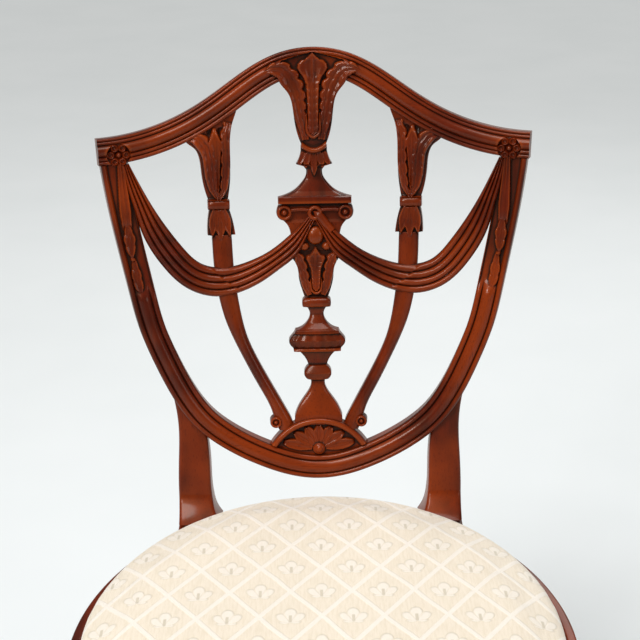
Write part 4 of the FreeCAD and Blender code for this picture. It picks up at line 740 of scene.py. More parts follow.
def rail(shells, line, top=RAIL_TOP):
    """Sweep a seat rail with its rebate along part of the outline."""
    low = RAIL_TOP - RAIL_DEPTH
    floor = RAIL_TOP - REBATE_DEPTH
    profile = [(0, low + 1.2), (0, low + 20), (0, low + 45), (0, top - 2.0), (0.25, top - 0.9),
               (1.0, top - 0.2), (2.0, top), (RIM_WIDTH - 1.6, top), (RIM_WIDTH - 0.5, top - 0.4),
               (RIM_WIDTH, top - 1.4), (RIM_WIDTH, floor), (RAIL_THICKNESS, floor),
               (RAIL_THICKNESS, low + 1.0), (RAIL_THICKNESS - 1.0, low), (1.2, low)]
    loops = [in_world(*(drawn_in(line, inset).T), z) for inset, z in profile]
    return shells.tube(np.stack(loops, axis=1))


def rounded_loop(x, y, half_x, half_y, radius, each=5):
    """A rectangle's outline with rounded corners."""
    points = []
    for quarter, (sx, sy) in enumerate(((1, 1), (-1, 1), (-1, -1), (1, -1))):
        for angle in np.linspace(0, np.pi / 2, each) + quarter * np.pi / 2:
            points.append((x + sx * (half_x - radius) + radius * math.cos(angle),
                           y + sy * (half_y - radius) + radius * math.sin(angle)))
    return np.array(points)


def block(shells, low, high, radius=1.4):
    """A box with softly rounded edges."""
    middle = [(a + b) / 2 for a, b in zip(low, high)]
    half = [(b - a) / 2 for a, b in zip(low, high)]
    levels = [(low[2], radius), (low[2] + radius * 0.3, radius * 0.3), (low[2] + radius, 0),
              (high[2] - radius, 0), (high[2] - radius * 0.3, radius * 0.3), (high[2], radius)]
    loops = []
    for z, inset in levels:
        loop = rounded_loop(middle[0], middle[1], half[0] - inset, half[1] - inset, radius)
        loops.append(in_world(loop[:, 0], loop[:, 1], z))
    return shells.tube(np.array(loops))


def upright():
    """Rear leg, post and carved shield side, on the +X side."""
    stile = both_sides(STILE_LINE)
    first = np.argmax(stile[:, 1] < 423 - CREST_WIDTH)
    last = np.argmax(stile[:, 0] < BASE_JOINT_U)
    shells = Shells()
    moulding(shells, evened(stile[first:last + 1], 0.8), STILE_MEMBERS, STILE_CROWNS, STILE_WIDTH,
             stile_carving)
    stations = smooth([station for station in POST_STATIONS[::-1]], 40)
    loops = []
    for w, inner, outer, thickness in stations:
        x, half = (inner + outer) / 2, (outer - inner) / 2
        bow = BACK_BOW - BOW_RADIUS + math.sqrt(BOW_RADIUS ** 2 - x ** 2)
        front = bow + min(5.0, 38.0 - thickness)
        loop = rounded_loop(x, front + thickness / 2, half, thickness / 2, min(4.0, thickness / 4))
        y = w * math.sin(BACK_LEAN) + loop[:, 1] * math.cos(BACK_LEAN)
        z = BACK_Z + w * math.cos(BACK_LEAN) - loop[:, 1] * math.sin(BACK_LEAN)
        loops.append(in_world(loop[:, 0], y, z))
    shells.tube(np.array(loops))
    inner, outer, front, rear = REAR_HEAD
    low = RAIL_TOP - RAIL_DEPTH
    block(shells, (inner, -3.0, low + 0.1), (outer, rear, RAIL_TOP - 0.1))
    block(shells, (inner + 0.1, front, low + 0.2), (outer - 0.1, 0.0, RAIL_TOP - REBATE_DEPTH))
    loops = []
    for z in np.linspace(low + 1, 0, 60):
        share = (low - z) / low
        size = REAR_LEG_SIZE + (REAR_FOOT_SIZE - REAR_LEG_SIZE) * share
        x = (inner + outer) / 2 + (REAR_FOOT_X - (inner + outer) / 2) * share
        y = rear - 0.1 - REAR_LEG_SIZE / 2 + REAR_FOOT_RAKE * max(share, 0) ** REAR_SWEEP_POWER
        loop = rounded_loop(x, y, size / 2, size / 2, 3.4)
        loops.append(in_world(loop[:, 0], loop[:, 1], z))
    shells.tube(np.array(loops))
    outline = seat_outline(2.0)
    low_x, high_x = SEAT_HALF_WIDTH * 118 / 262, SEAT_HALF_WIDTH * 178 / 262
    rear_part = (outline[:, 0] > low_x) & (outline[:, 0] < high_x) & (outline[:, 1] > SEAT_WIDEST_Y + 50)
    rail(shells, outline[rear_part])
    return shells


def front_leg():
    """A square tapered leg on the +X side, with flutes, a spade foot and a flower on its head."""
    top, ankle, spade, foot = 40.0, 25.0, 35.0, 27.0
    low = RAIL_TOP - RAIL_DEPTH
    z = np.concatenate([np.linspace(0, 66.9, 12), [67.5, 69, 70.7, 71.5, 73.5, 75, 76, 77],
                        np.linspace(78, low - 3, 330), [low - 1, low + 1]])
    size = np.interp(z, (0, 1.2, 66.9, 70.7, 71.5, 76, low),
                     (foot - 1.6, foot, spade, spade, spade - 1.5, ankle, top))
    side = np.linspace(-1, 1, 46)
    loops = []
    run = step_up(98, 104, z) * (1 - step_up(low - 30, low - 22, z))
    for level, wide, amount in zip(z, size, run):
        half = wide / 2
        pitch = FLUTE_PITCH * wide / top
        depth = np.zeros_like(side)
        for i in (-1, 0, 1):
            across = (side * half - i * pitch) / (FLUTE_SHARE * pitch)
            depth = np.maximum(depth, FLUTE_DEPTH * np.sqrt(np.clip(1 - across ** 2, 0, 1)))
        inward = half - depth * amount - 1.1 * np.abs(side) ** 40
        points = []
        for turn in range(4):
            c, s = math.cos(turn * math.pi / 2), math.sin(turn * math.pi / 2)
            x, y = inward[:-1], side[:-1] * half
            points.append(np.stack([c * x - s * y, s * x + c * y], axis=1))
        loop = np.concatenate(points)
        loops.append(in_world(FRONT_LEG_X + loop[:, 0], FRONT_LEG_Y + loop[:, 1], level))
    shells = Shells().tube(np.array(loops))
    half = FRONT_LEG_HEAD / 2
    x, y = FRONT_LEG_X, FRONT_LEG_Y
    block(shells, (x - half, y - half, low), (x + half, y + half, RAIL_TOP - REBATE_DEPTH))
    outline = seat_outline(2.0)
    near = (outline[:, 0] > x - half) & (outline[:, 1] < y + half)
    inner_line = drawn_in(outline[near], RIM_WIDTH)
    rim = np.concatenate([inner_line, [[x - half, y - half], [x + half, y - half], [x + half, y + half]]])
    loops = [in_world(rim[:, 0], rim[:, 1], level) for level in (RAIL_TOP - REBATE_DEPTH - 1, RAIL_TOP)]
    shells.tube(np.array(loops))
    flower(shells, (x, y - half, low + RAIL_DEPTH / 2), 16.0)
    return shells


def flower(shells, centre, radius, petals=8):
    """A round flower on an upright face that looks forward."""
    r = np.concatenate([np.linspace(0.01, 1, 30), [1.0]])
    angle = np.linspace(0, 2 * np.pi, 128, endpoint=False)
    r_grid, a_grid = np.meshgrid(r, angle, indexing="ij")
    wave = np.abs(((a_grid / (2 * np.pi) * petals) % 1) - 0.5) * 2
    rise = 2.6 * np.sqrt(np.clip(1 - ((r_grid - 0.6) / 0.42) ** 2, 0, 1)) * (1 - 0.75 * wave ** 3)
    rise = np.maximum(rise, 3.0 * np.sqrt(np.clip(1 - (r_grid / 0.26) ** 2, 0, 1)))
    rise[-1] = -1.0
    edge = radius * r_grid * (1 - 0.06 * wave ** 2)
    points = in_world(centre[0] + edge * np.sin(a_grid), centre[1] - rise, centre[2] + edge * np.cos(a_grid))
    # Painted shade: the lower parts of the flower get a hollow value that darkens them in the wood.
    shells.tube(points, 0.5 - rise[:, :] / 2.6)


# Seat cushion

CUSHION_LEVELS = ((0, 0), (16, 0.0), (20, -0.6), (26, -1.0), (31, 0.8), (36, 4.8), (40.5, 12), (44.5, 26),
                  (48.5, 58), (51, 100), (52.3, 150), (52.8, 200), (53, 235))
CUSHION_LOW = 447.6
SIDE_INSET = 12.6


def cushion_mesh():
    """The upholstered seat as a closed crowned form: straight sides in the rebate and a domed top."""
    half = seat_outline(6.0)
    other = half[1:-1][::-1] * np.array([-1, 1])
    outline = np.concatenate([half, other])
    base = drawn_in(outline, SIDE_INSET)
    middle = np.array([0, (SEAT_WIDEST_Y + SEAT_BACK_REACH + SEAT_FRONT_Y) / 2])
    depth = (SEAT_WIDEST_Y + SEAT_BACK_REACH - SEAT_FRONT_Y) / 2 - SIDE_INSET
    levels = evened(smooth([(inset, rise) for rise, inset in CUSHION_LEVELS], 400), 5.0)
    loops = []
    for inset, rise in levels:
        loop = middle + (base - middle) * max(1 - inset / depth, 0.02)
        loops.append(in_world(loop[:, 0], loop[:, 1], CUSHION_LOW + max(rise, 0.0)))
    shells = Shells().tube(np.array(loops))
    mesh = bpy.data.meshes.new("cushion")
    mesh.from_pydata(np.concatenate(shells.points).tolist(), [], shells.faces)
    return mesh


def puffed(piece, cap):
    """Swell the cushion with a short cloth simulation under pressure, no point further than cap metres."""
    remesh = piece.modifiers.new("remesh", "REMESH")
    remesh.mode = "VOXEL"
    remesh.voxel_size = CUSHION_GRID
    bpy.context.view_layer.objects.active = piece
    bpy.ops.object.modifier_apply(modifier="remesh")
    start = np.empty(len(piece.data.vertices) * 3, np.float32)
    piece.data.vertices.foreach_get("co", start)
    start = start.reshape(-1, 3).astype(float)
    group = piece.vertex_groups.new(name="held")
    low = CUSHION_LOW / 1000 + CUSHION_HELD
    group.add([i for i, p in enumerate(start) if p[2] < low], 1.0, "REPLACE")
    cloth = piece.modifiers.new("cloth", "CLOTH")
    cloth.settings.vertex_group_mass = "held"
    cloth.settings.use_pressure = True
    cloth.settings.uniform_pressure_force = CLOTH_PRESSURE
    cloth.settings.effector_weights.gravity = 0.0
    cloth.settings.quality = 4
    cloth.point_cache.frame_start, cloth.point_cache.frame_end = 1, CLOTH_FRAMES
    for step in range(1, CLOTH_FRAMES + 1):
        bpy.context.scene.frame_set(step)
    shape = piece.evaluated_get(bpy.context.evaluated_depsgraph_get()).to_mesh()
    moved = np.empty(len(start) * 3, np.float32)
    shape.vertices.foreach_get("co", moved)
    move = moved.reshape(-1, 3).astype(float) - start
    outward = np.array([normal.vector[:] for normal in piece.data.vertex_normals])
    swell = np.maximum((move * outward).sum(axis=1), 0.0)
    move = outward * (cap * np.tanh(swell / cap))[:, None]
    piece.modifiers.remove(cloth)
    bpy.context.scene.frame_set(1)
    start += move
    neighbours = np.array([edge.vertices[:] for edge in piece.data.edges])
    for _ in range(CUSHION_SOFTENING):
        total, count = np.zeros_like(start), np.zeros(len(start))
        for a, b in ((0, 1), (1, 0)):
            np.add.at(total, neighbours[:, a], start[neighbours[:, b]])
            np.add.at(count, neighbours[:, a], 1)
        start += 0.5 * (total / count[:, None] - start)
    piece.data.vertices.foreach_set("co", start.reshape(-1).astype(np.float32))
    finer = piece.modifiers.new("finer", "SUBSURF")
    finer.levels = finer.render_levels = 1
    bpy.ops.object.modifier_apply(modifier="finer")
    piece.data.polygons.foreach_set("use_smooth", [True] * len(piece.data.polygons))


# Materials

def linear(colour):
    """A linear RGBA colour from an sRGB hex value."""
    parts = [int(colour.lstrip("#")[i:i + 2], 16) / 255 for i in (0, 2, 4)]
    return tuple(c / 12.92 if c <= 0.04045 else ((c + 0.055) / 1.055) ** 2.4 for c in parts) + (1.0,)


def opaque(colour):
    """A colour setting as the linear RGBA that a shader socket takes."""
    return tuple(colour) + (1.0,)


def new_material(name):
    """A node material with nothing in it yet but the place of each point."""
    material = bpy.data.materials.new(name)
    material.use_nodes = True
    material.node_tree.nodes.clear()
    add(material, "place", "ShaderNodeTexCoord", {})
    return material


def add(material, name, kind, inputs, **settings):
    """Add a named node. An input given as text is linked from that node, or from its output after a dot."""
    tree = material.node_tree
    node = tree.nodes.new(kind)
    node.name = name
    for setting, value in settings.items():
        setattr(node, setting, value)
    for socket, value in inputs.items():
        if isinstance(value, str):
            source, _, output = value.partition(".")
            output = int(output) if output.isdigit() else output or 0
            tree.links.new(tree.nodes[source].outputs[output], node.inputs[socket])
        else:
            node.inputs[socket].default_value = value


def add_rows(material, noises=(), sums=(), ranges=(), layers=()):
    """Add nodes from rows: stretched noises, sums, soft ranges, and colours laid one over another."""
    for name, scale, detail, rough in noises:
        add(material, name + "_spot", "ShaderNodeMapping", {"Vector": "place.Object", "Scale": scale})
        add(material, name, "ShaderNodeTexNoise",
            {"Vector": name + "_spot", "Scale": 1.0, "Detail": detail, "Roughness": rough})
    for name, operation, *values in sums:
        add(material, name, "ShaderNodeMath", dict(enumerate(values)), operation=operation)
    for name, *values in ranges:
        add(material, name, "ShaderNodeMapRange", dict(enumerate(values)), interpolation_type="SMOOTHSTEP")
    for name, share, under, over in layers:
        add(material, name, "ShaderNodeMix", {0: share, 6: under, 7: over}, data_type="RGBA")


def finish_material(material, colour, rough, bump=(), **more):
    """Add the shader and the output. A bump is its height, strength and distance in metres."""
    inputs = {"Base Color": colour, "Roughness": rough}
    if bump:
        add(material, "bump", "ShaderNodeBump", dict(zip(("Height", "Strength", "Distance"), bump)))
        inputs["Normal"] = "bump"
    inputs.update({socket.replace("_", " "): value for socket, value in more.items()})
    add(material, "shader", "ShaderNodeBsdfPrincipled", inputs)
    add(material, "output", "ShaderNodeOutputMaterial", {"Surface": "shader"})
    return material


# Mahogany, planed, carved, coloured with stain and French polished. To the eye: red-brown with ribbon figure
# every
# 15 to 25 mm, open pores drawn about 1 mm wide so that they show, an amber gloss, painted shade in the
# hollows that also stands for the dark wax left there, and a rubbed lighter tone on the ridges.
def polished_mahogany(name, along, colours):
    """Polished mahogany whose grain runs along X, Y or Z."""
    material = new_material(name)
    figure_scale, pore_scale = [FIGURE_WAVES] * 3, [PORE_WAVES] * 3
    figure_scale["XYZ".index(along)] = FIGURE_WAVES_ALONG
    pore_scale["XYZ".index(along)] = PORE_WAVES_ALONG
    add(material, "hollow", "ShaderNodeAttribute", {}, attribute_name="hollow")
    add_rows(material,
             noises=(("figure", figure_scale, 6.0, 0.6), ("pores", pore_scale, 2.0, 0.5),
                     ("cloud", [CLOUD_WAVES] * 3, 3.0, 0.55)),
             ranges=(("figured", "figure", 0.34, 0.68, 0.0, 1.0), ("clouded", "cloud", 0.35, 0.72, 0.0, 0.8),
                     ("pored", "pores", 0.56, 0.72, 0.0, 0.55),
                     ("rubbed", "hollow.Fac", -0.3, -1.0, 0.0, 0.3),
                     # Painted shade: the deeper a place lies in the carving, the nearer its colour goes to
                     # near black, for the shade there as well as dark wax.
                     ("stained", "hollow.Fac", 0.0, 0.75, 0.0, 0.92),
                     ("dulled", "hollow.Fac", -0.2, 0.8, 0.27, 0.55)))
    add_rows(material,
             sums=(("rough", "MULTIPLY_ADD", "cloud", 0.12, "dulled"),
                   ("height", "MULTIPLY_ADD", "pores", -0.5, "figure")),
             layers=(("bands", "figured", opaque(colours.mahogany_dark), opaque(colours.mahogany)),
                     ("glow", "clouded", "bands.2", opaque(colours.mahogany_light)),
                     ("open_pores", "pored", "glow.2", opaque(colours.mahogany_dark)),
                     ("ridges", "rubbed", "open_pores.2", opaque(colours.mahogany_worn)),
                     ("wood", "stained", "ridges.2", opaque(colours.mahogany_shade_and_wax))))
    return finish_material(material, "wood.2", "rough", ("height", 0.16, 0.0006), IOR=1.5,
                           Specular_IOR_Level=0.25, Specular_Tint=linear("#FFC8A0"),
                           Coat_Tint=linear("#FFD9B0"), Coat_Weight=0.25, Coat_Roughness=0.12)


# Cotton and silk damask, woven cream on cream. To the eye: a raised trellis of paler cord about 5 mm wide
# makes diamonds 64 mm across and 88 mm deep, each with a palmette and its dark stem. Threads are drawn 1.2 mm
# apart so that they show.
def cream_damask(colours):
    """The seat's woven cover."""
    cloth = new_material("cream_damask")
    add(cloth, "split", "ShaderNodeSeparateXYZ", {0: "place.Object"})
    thread = math.tau / THREAD_SPACING
    half_across, half_deep = DIAMOND_ACROSS * 500, DIAMOND_DEEP * 500
    add_rows(cloth,
             noises=(("wander", [14.0] * 3, 2.0, 0.55), ("slub", [420.0, 60.0, 200.0], 3.0, 0.55)),
             sums=(("drift", "MULTIPLY_ADD", "wander", 0.05, -0.025),
                   ("x", "MULTIPLY_ADD", "split.X", 1 / DIAMOND_ACROSS, "drift"),
                   ("y", "MULTIPLY_ADD", "split.Y", 1 / DIAMOND_DEEP, "drift"),
                   ("a", "ADD", "x", "y"), ("b", "SUBTRACT", "x", "y"),
                   ("share_a", "PINGPONG", "a", 0.5), ("share_b", "PINGPONG", "b", 0.5),
                   ("off_a", "SUBTRACT", "share_a", 0.012), ("off_b", "SUBTRACT", "share_b", 0.012),
                   ("gap_a", "ABSOLUTE", "off_a"), ("gap_b", "ABSOLUTE", "off_b"),
                   ("near_a", "FRACT", "a"), ("near_b", "FRACT", "b"),
                   ("both", "ADD", "near_a", "near_b"), ("apart", "SUBTRACT", "near_a", "near_b"),
                   ("across", "MULTIPLY_ADD", "both", half_across, -half_across),
                   ("deep", "MULTIPLY", "apart", half_deep), ("tall", "ADD", "deep", PALMETTE_FOOT),
                   ("angle", "ARCTAN2", "across", "tall"),
                   ("turned", "MULTIPLY", "angle", PALMETTE_LOBES / 2),
                   ("waves", "COSINE", "turned"), ("petal", "ABSOLUTE", "waves"),
                   ("notched", "MULTIPLY_ADD", "petal", 0.3, 0.7), ("facing", "COSINE", "angle"),
                   ("size", "MULTIPLY_ADD", "facing", 12.0, 11.0), ("edge", "MULTIPLY", "notched", "size"),
                   ("across_squared", "MULTIPLY", "across", "across"),
                   ("squared", "MULTIPLY_ADD", "tall", "tall", "across_squared"),
                   ("reach", "SQRT", "squared"),
                   ("inside", "SUBTRACT", "edge", "reach"), ("rim_gap", "ABSOLUTE", "inside"),
                   ("side_gap", "ABSOLUTE", "across"), ("below", "ADD", "deep", 4.0),
                   ("stem_gap", "ABSOLUTE", "below"),
                   ("turn_x", "MULTIPLY", "split.X", thread), ("turn_y", "MULTIPLY", "split.Y", thread),
                   ("warp", "SINE", "turn_x"), ("weft", "SINE", "turn_y"),
                   ("weave", "MULTIPLY", "warp", "weft")),
             ranges=(("cord_a", "gap_a", 0.052, 0.026, 0.0, 1.0), ("cord_b", "gap_b", 0.052, 0.026, 0.0, 1.0),
                     ("body", "inside", -0.6, 1.0, 0.0, 1.0), ("lobes", "petal", 0.05, 0.5, 0.35, 1.0),
                     ("outline", "rim_gap", 2.4, 0.4, 0.0, 0.22), ("thin", "side_gap", 2.2, 0.9, 0.0, 1.0),
                     ("short", "stem_gap", 7.0, 4.5, 0.0, 0.55), ("slubbed", "slub", 0.35, 0.7, 0.0, 1.0),
                     ("threads", "weave", -0.6, 0.9, 0.1, 0.0)))
    add_rows(cloth, sums=(("trellis", "MAXIMUM", "cord_a", "cord_b"),
                          ("palmette", "MULTIPLY", "body", "lobes"),
                          ("raised", "MAXIMUM", "trellis", "palmette"),
                          ("height", "MULTIPLY_ADD", "weave", 0.22, "raised"),
                          ("palmette_share", "MULTIPLY", "palmette", 0.6),
                          ("trellis_share", "MULTIPLY", "trellis", 0.75),
                          ("stem", "MULTIPLY", "thin", "short")))
    light, dark = opaque(colours.damask_light), opaque(colours.damask_stem)
    add_rows(cloth, ranges=(("rough", "raised", 0.0, 1.0, 0.74, 0.56),),
             layers=(("ground", "slubbed", opaque(colours.damask), opaque(colours.damask_shade)),
                     ("leafed", "palmette_share", "ground.2", light),
                     ("outlined", "outline", "leafed.2", dark),
                     ("trellised", "trellis_share", "outlined.2", light),
                     ("stemmed", "stem", "trellised.2", dark),
                     ("woven", "threads", "stemmed.2", dark)))
    return finish_material(cloth, "woven.2", "rough", ("height", 0.55, 0.0009), Sheen_Weight=0.35,
                           Sheen_Roughness=0.45)


# The stuffs inside the seat and under it, each with its two tones, the spacing of its threads or fibres in
# metres, whether it is woven, and its roughness. To the eye they are plain and matte, and only the two steels
# are metal: small blued tacks and duller bright screws.
HIDDEN_STUFFS = {
    "beech": ("sawn_beech", "#C79A68", "#A9773F", 0.004, False, 0.7, 0.0),
    "tacks": ("blued_steel", "#3A3D42", "#55585E", 0.002, False, 0.45, 1.0),
    "screws": ("bright_steel", "#8A8A88", "#A9A9A6", 0.002, False, 0.42, 1.0),
    "webbing": ("jute_webbing", "#B59662", "#8B6C3F", 0.003, True, 0.85, 0.0),
    "hessian": ("hessian", "#A68B5E", "#7C6540", 0.0025, True, 0.85, 0.0),
    "dust_cover": ("black_lining", "#1B1A19", "#2A2826", 0.0016, True, 0.85, 0.0),
}


def hidden_stuff(name, first, second, spacing, woven, rough, metal):
    """A two-tone stuff: woven threads, or fibres that run along X."""
    material = new_material(name)
    if woven:
        add(material, "split", "ShaderNodeSeparateXYZ", {0: "place.Object"})
        add_rows(material, sums=(("turn_x", "MULTIPLY", "split.X", math.tau / spacing),
                                 ("turn_y", "MULTIPLY", "split.Y", math.tau / spacing),
                                 ("warp", "SINE", "turn_x"), ("weft", "SINE", "turn_y"),
                                 ("pattern", "MULTIPLY", "warp", "weft")))
    else:
        add_rows(material, noises=(("pattern", [0.3 / spacing, 1 / spacing, 1 / spacing], 6.0, 0.55),))
    add_rows(material, ranges=(("tone", "pattern", -0.7 if woven else 0.3, 0.8, 0.0, 1.0),
                               ("rough", "pattern", -1.0, 1.0, rough, rough - 0.15)))
    add_rows(material, layers=(("colour", "tone", linear(first), linear(second)),))
    return finish_material(material, "colour.2", "rough", ("pattern", 0.4, spacing * 0.2), Metallic=metal)


# Painted studio floor: pale and matte, with faint clouding about 300 mm wide.
def pale_floor():
    """The floor that the chair stands on."""
    material = new_material("pale_floor")
    add_rows(material, noises=(("tone", [3.0] * 3, 2.0, 0.55),),
             layers=(("paint", "tone", linear("#E4E9EA"), linear("#ECF0F1")),))
    return finish_material(material, "paint.2", 0.85)


# Settings

def colour_property(name, note, value):
    """A colour setting with its default as an sRGB hex value."""
    return bpy.props.FloatVectorProperty(name=name, description=note, subtype="COLOR", size=3, min=0, max=1,
                                         default=linear(value)[:3])


class ChairColours(bpy.types.PropertyGroup):
    """Colours of the chair's finishes."""
    mahogany: colour_property("Mahogany", "Polished wood on open faces", "#5A1704")
    mahogany_dark: colour_property("Mahogany figure", "Darker bands and pores of the wood", "#3A0D04")
    mahogany_light: colour_property("Mahogany glow", "Lighter clouds in the polish", "#863207")
    mahogany_worn: colour_property("Worn edges", "Rubbed ridges of the carving", "#A44A17")
    # Painted shade: near black, laid into the carving's hollows for the shade there as well as the dark wax.
    mahogany_shade_and_wax: colour_property("Recesses", "Dark stain left in the hollows", "#1A0604")
    damask: colour_property("Damask", "The cover's ground", "#F1E5D2")
    damask_shade: colour_property("Damask shade", "Darker threads of the ground", "#E9DCC6")
    damask_light: colour_property("Damask trellis", "The raised pale trellis and palmettes", "#F9F2E8")
    damask_stem: colour_property("Damask stem", "Outline and stem of each palmette", "#B7AA8C")


class ChairSizes(bpy.types.PropertyGroup):
    """Sizes that the dressing of the chair can change."""
    swell: bpy.props.FloatProperty(name="Cushion swell", default=0.005, min=0, max=0.012, unit="LENGTH",
                                   description="The furthest that the stuffed seat swells",
                                   subtype="DISTANCE")
    floor: bpy.props.FloatProperty(name="Floor width", description="Width of the pale floor", default=40.0,
                                   min=4, max=40, unit="LENGTH", subtype="DISTANCE")


def wood(context, along):
    """The mahogany whose grain runs along one way, made once."""
    name = "polished_mahogany_" + along.lower()
    return bpy.data.materials.get(name) or polished_mahogany(name, along, context.scene.chair_colours)


def joined(piece, *nodes):
    """Put a wooden piece on the chair's frame, in place of the solids it stands for."""
    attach(piece, "chair_frame")
    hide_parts(*nodes)


def joined_pair(shells, name, material, node=None):
    """Put on a piece of the +X side and its mirror image."""
    for side, one in (("_right", shells), ("_left", shells.mirrored())):
        joined(one.made("dressed_" + name + side, material), (node or name) + side)


# Operators

class CHAIR_OT_crest(bpy.types.Operator):
    """Carve the crest rail and its corner flowers"""
    bl_idname = "chair.crest"
    bl_label = "Crest rail"
    bl_options = {"REGISTER", "UNDO"}

    def execute(self, context):
        shells = Shells()
        moulding(shells, evened(both_sides(CREST_LINE), 0.7), CREST_MEMBERS, CREST_CROWNS, CREST_WIDTH,
                 crest_carving, 72)
        for side in (1, -1):
            round_piece(shells, (side * FLOWER_U, FLOWER_W), FLOWER_RADIUS, flower_face, -0.2, -12)
        joined(shells.made("dressed_crest_rail", wood(context, "X")), "crest_rail")
        return {"FINISHED"}


class CHAIR_OT_uprights(bpy.types.Operator):
    """Shape the rear legs, posts and carved shield sides"""
    bl_idname = "chair.uprights"
    bl_label = "Rear uprights"
    bl_options = {"REGISTER", "UNDO"}

    def execute(self, context):
        joined_pair(upright(), "rear_upright", wood(context, "Z"))
        return {"FINISHED"}


class CHAIR_OT_base_rail(bpy.types.Operator):
    """Mould the curved bottom rail of the shield"""
    bl_idname = "chair.base_rail"
    bl_label = "Shield base rail"
    bl_options = {"REGISTER", "UNDO"}

    def execute(self, context):
        line = both_sides(STILE_LINE)
        first = np.argmax(line[:, 0] < BASE_JOINT_U)
        last = np.argmax(line[:, 0] < -BASE_JOINT_U)
        shells = Shells()
        moulding(shells, evened(line[first:last + 1], 1.0), STILE_MEMBERS, STILE_CROWNS, STILE_WIDTH)
        joined(shells.made("dressed_base_rail", wood(context, "X")), "shield_base_rail")
        return {"FINISHED"}


class CHAIR_OT_splats(bpy.types.Operator):
    """Carve the three splats, the lunette and the two swags"""
    bl_idname = "chair.splats"
    bl_label = "Splats, lunette and swags"
    bl_options = {"REGISTER", "UNDO"}

    def execute(self, context):
        upward = wood(context, "Z")
        joined(centre_splat().made("dressed_centre_splat", upward), "centre_splat")
        joined(lunette().made("dressed_lunette", upward), "lunette")
        joined_pair(side_splat(), "side_splat", upward)
        joined_pair(swag(), "swag", wood(context, "X"))
        return {"FINISHED"}


class CHAIR_OT_seat_rails(bpy.types.Operator):
    """Bend the four seat rails round the lift-out seat"""
    bl_idname = "chair.seat_rails"
    bl_label = "Seat rails"
    bl_options = {"REGISTER", "UNDO"}

    def execute(self, context):
        outline = seat_outline(3.0)
        x, y = outline[:, 0], outline[:, 1]
        behind = y > SEAT_WIDEST_Y + 50
        rear = outline[behind & (x <= 118.5)]
        side = outline[(~behind | (x >= 177.5)) & (y > FRONT_LEG_Y + 22)]
        front = outline[(y < FRONT_LEG_Y) & (x < FRONT_LEG_X - 22)]
        for name, half in (("rear", rear), ("front", front[::-1])):
            line = np.concatenate([half[::-1] * np.array([-1, 1]), half[1:]])
            piece = rail(Shells(), line).made("dressed_" + name + "_rail", wood(context, "X"))
            joined(piece, name + "_seat_rail")
        joined_pair(rail(Shells(), side), "side_rail", wood(context, "Y"), "side_seat_rail")
        return {"FINISHED"}


class CHAIR_OT_front_legs(bpy.types.Operator):
    """Flute and taper the front legs, with their spade feet and flowers"""
    bl_idname = "chair.front_legs"
    bl_label = "Front legs"
    bl_options = {"REGISTER", "UNDO"}

    def execute(self, context):
        joined_pair(front_leg(), "front_leg", wood(context, "Z"))
        return {"FINISHED"}


class CHAIR_OT_cushion(bpy.types.Operator):
    """Stuff and cover the lift-out seat"""
    bl_idname = "chair.cushion"
    bl_label = "Damask seat"
    bl_options = {"REGISTER", "UNDO"}

    def execute(self, context):
        piece = bpy.data.objects.new("damask_cushion", cushion_mesh())
        context.scene.collection.objects.link(piece)
        puffed(piece, context.scene.chair_sizes.swell)
        piece.data.materials.clear()
        piece.data.materials.append(cream_damask(context.scene.chair_colours))
        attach(piece, "seat")
        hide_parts("seat_cover", "seat_stuffing")
        return {"FINISHED"}


class CHAIR_OT_inside(bpy.types.Operator):
    """Finish the hidden frame, webbing, cloths, blocks and fixings"""
    bl_idname = "chair.inside"
    bl_label = "Hidden parts"
    bl_options = {"REGISTER", "UNDO"}

    def execute(self, context):
        stuffs = {word: hidden_stuff(*stuff) for word, stuff in HIDDEN_STUFFS.items()}
        for name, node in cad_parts.items():
            if node.hide_render:
                continue
            word = next((word for word in stuffs if word in name), "beech")
            node.data.materials.clear()
            node.data.materials.append(stuffs[word])
        return {"FINISHED"}


class CHAIR_OT_stage(bpy.types.Operator):
    """Lay the pale floor, light it softly and place the camera"""
    bl_idname = "chair.stage"
    bl_label = "Floor, lights and camera"
    bl_options = {"REGISTER", "UNDO"}

    def execute(self, context):
        scene = context.scene
        spots = np.linspace(-0.5, 0.5, 9) * scene.chair_sizes.floor
        mesh = bpy.data.meshes.new("floor")
        mesh.from_pydata([(x, y, 0.0) for y in spots for x in spots], [], grid_faces(9, 9, False).tolist())
        mesh.materials.append(pale_floor())
        floor = bpy.data.objects.new("floor", mesh)
        scene.collection.objects.link(floor)
        world = bpy.data.worlds.new("studio")
        scene.world = world
        world.use_nodes = True
        background = world.node_tree.nodes["Background"]
        background.inputs[0].default_value = linear("#E3E0DB")
        background.inputs[1].default_value = 0.34
        for name, place, size, power in STUDIO_LAMPS:
            data = bpy.data.lights.new(name, "AREA")
            data.shape, data.size, data.energy = "DISK", size, power
            lamp = aimed(scene, data, LAMP_AIM - Vector(place))
            lamp.location = place
        data = bpy.data.lights.new("daylight", "SUN")
        data.energy, data.angle = DAYLIGHT, math.radians(24)
        aimed(scene, data, DAYLIGHT_WAY)
        scene.view_settings.view_transform = "Standard"
        scene.camera = photo_camera(scene)
        return {"FINISHED"}


def aimed(scene, data, way):
    """A lamp turned to shine one way."""
    lamp = bpy.data.objects.new(data.name, data)
    lamp.rotation_euler = way.to_track_quat("-Z", "Y").to_euler()
    scene.collection.objects.link(lamp)
    return lamp


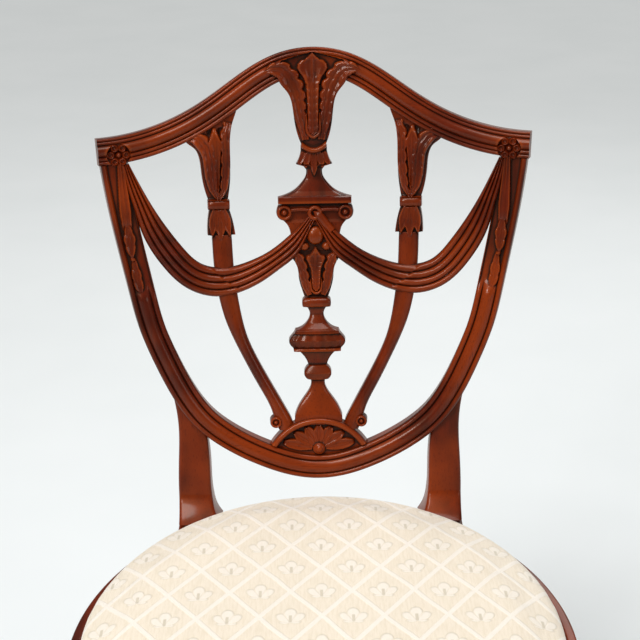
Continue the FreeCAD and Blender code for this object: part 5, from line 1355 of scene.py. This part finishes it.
def photo_camera(scene):
    """A camera where the photographer stood."""
    data = bpy.data.cameras.new("camera")
    data.sensor_width, data.lens, data.clip_end = 36.0, CAMERA_LENS, 60
    camera = bpy.data.objects.new("camera", data)
    pitch, yaw, roll = (math.radians(angle) for angle in CAMERA_PITCH_YAW_ROLL)
    ahead = Vector((math.sin(yaw) * math.cos(pitch), math.cos(yaw) * math.cos(pitch), -math.sin(pitch)))
    right = Vector((math.cos(yaw), -math.sin(yaw), 0))
    down = ahead.cross(right)
    turned_right = right * math.cos(roll) + down * math.sin(roll)
    turned_down = down * math.cos(roll) - right * math.sin(roll)
    turn = Matrix((turned_right, -turned_down, -ahead)).transposed().to_4x4()
    x, y, z = CAMERA_PLACE
    camera.matrix_world = Matrix.Translation(Vector((x, y + SHIFT_Y, z)) / 1000) @ turn
    scene.collection.objects.link(camera)
    return camera


STEPS = (CHAIR_OT_crest, CHAIR_OT_uprights, CHAIR_OT_base_rail, CHAIR_OT_splats, CHAIR_OT_seat_rails,
         CHAIR_OT_front_legs, CHAIR_OT_cushion, CHAIR_OT_inside, CHAIR_OT_stage)


class CHAIR_PT_panel(bpy.types.Panel):
    """The chair's settings and steps"""
    bl_label = "Shield back chair"
    bl_idname = "CHAIR_PT_panel"
    bl_space_type = "VIEW_3D"
    bl_region_type = "UI"
    bl_category = "Chair"

    def draw(self, context):
        for group in (context.scene.chair_sizes, context.scene.chair_colours):
            for name in group.__annotations__:
                self.layout.prop(group, name)
        for step in STEPS:
            self.layout.operator(step.bl_idname)


CLASSES = (ChairColours, ChairSizes) + STEPS + (CHAIR_PT_panel,)


def register():
    """Add the chair's settings, operators and panel to Blender."""
    for one in CLASSES:
        bpy.utils.register_class(one)
    bpy.types.Scene.chair_colours = bpy.props.PointerProperty(type=ChairColours)
    bpy.types.Scene.chair_sizes = bpy.props.PointerProperty(type=ChairSizes)


def unregister():
    """Take them out again."""
    del bpy.types.Scene.chair_sizes
    del bpy.types.Scene.chair_colours
    for one in reversed(CLASSES):
        bpy.utils.unregister_class(one)


def main():
    """Build the whole chair."""
    register()
    for step in STEPS:
        group, name = step.bl_idname.split(".")
        getattr(getattr(bpy.ops, group), name)()


if __name__ == "__main__":
    main()
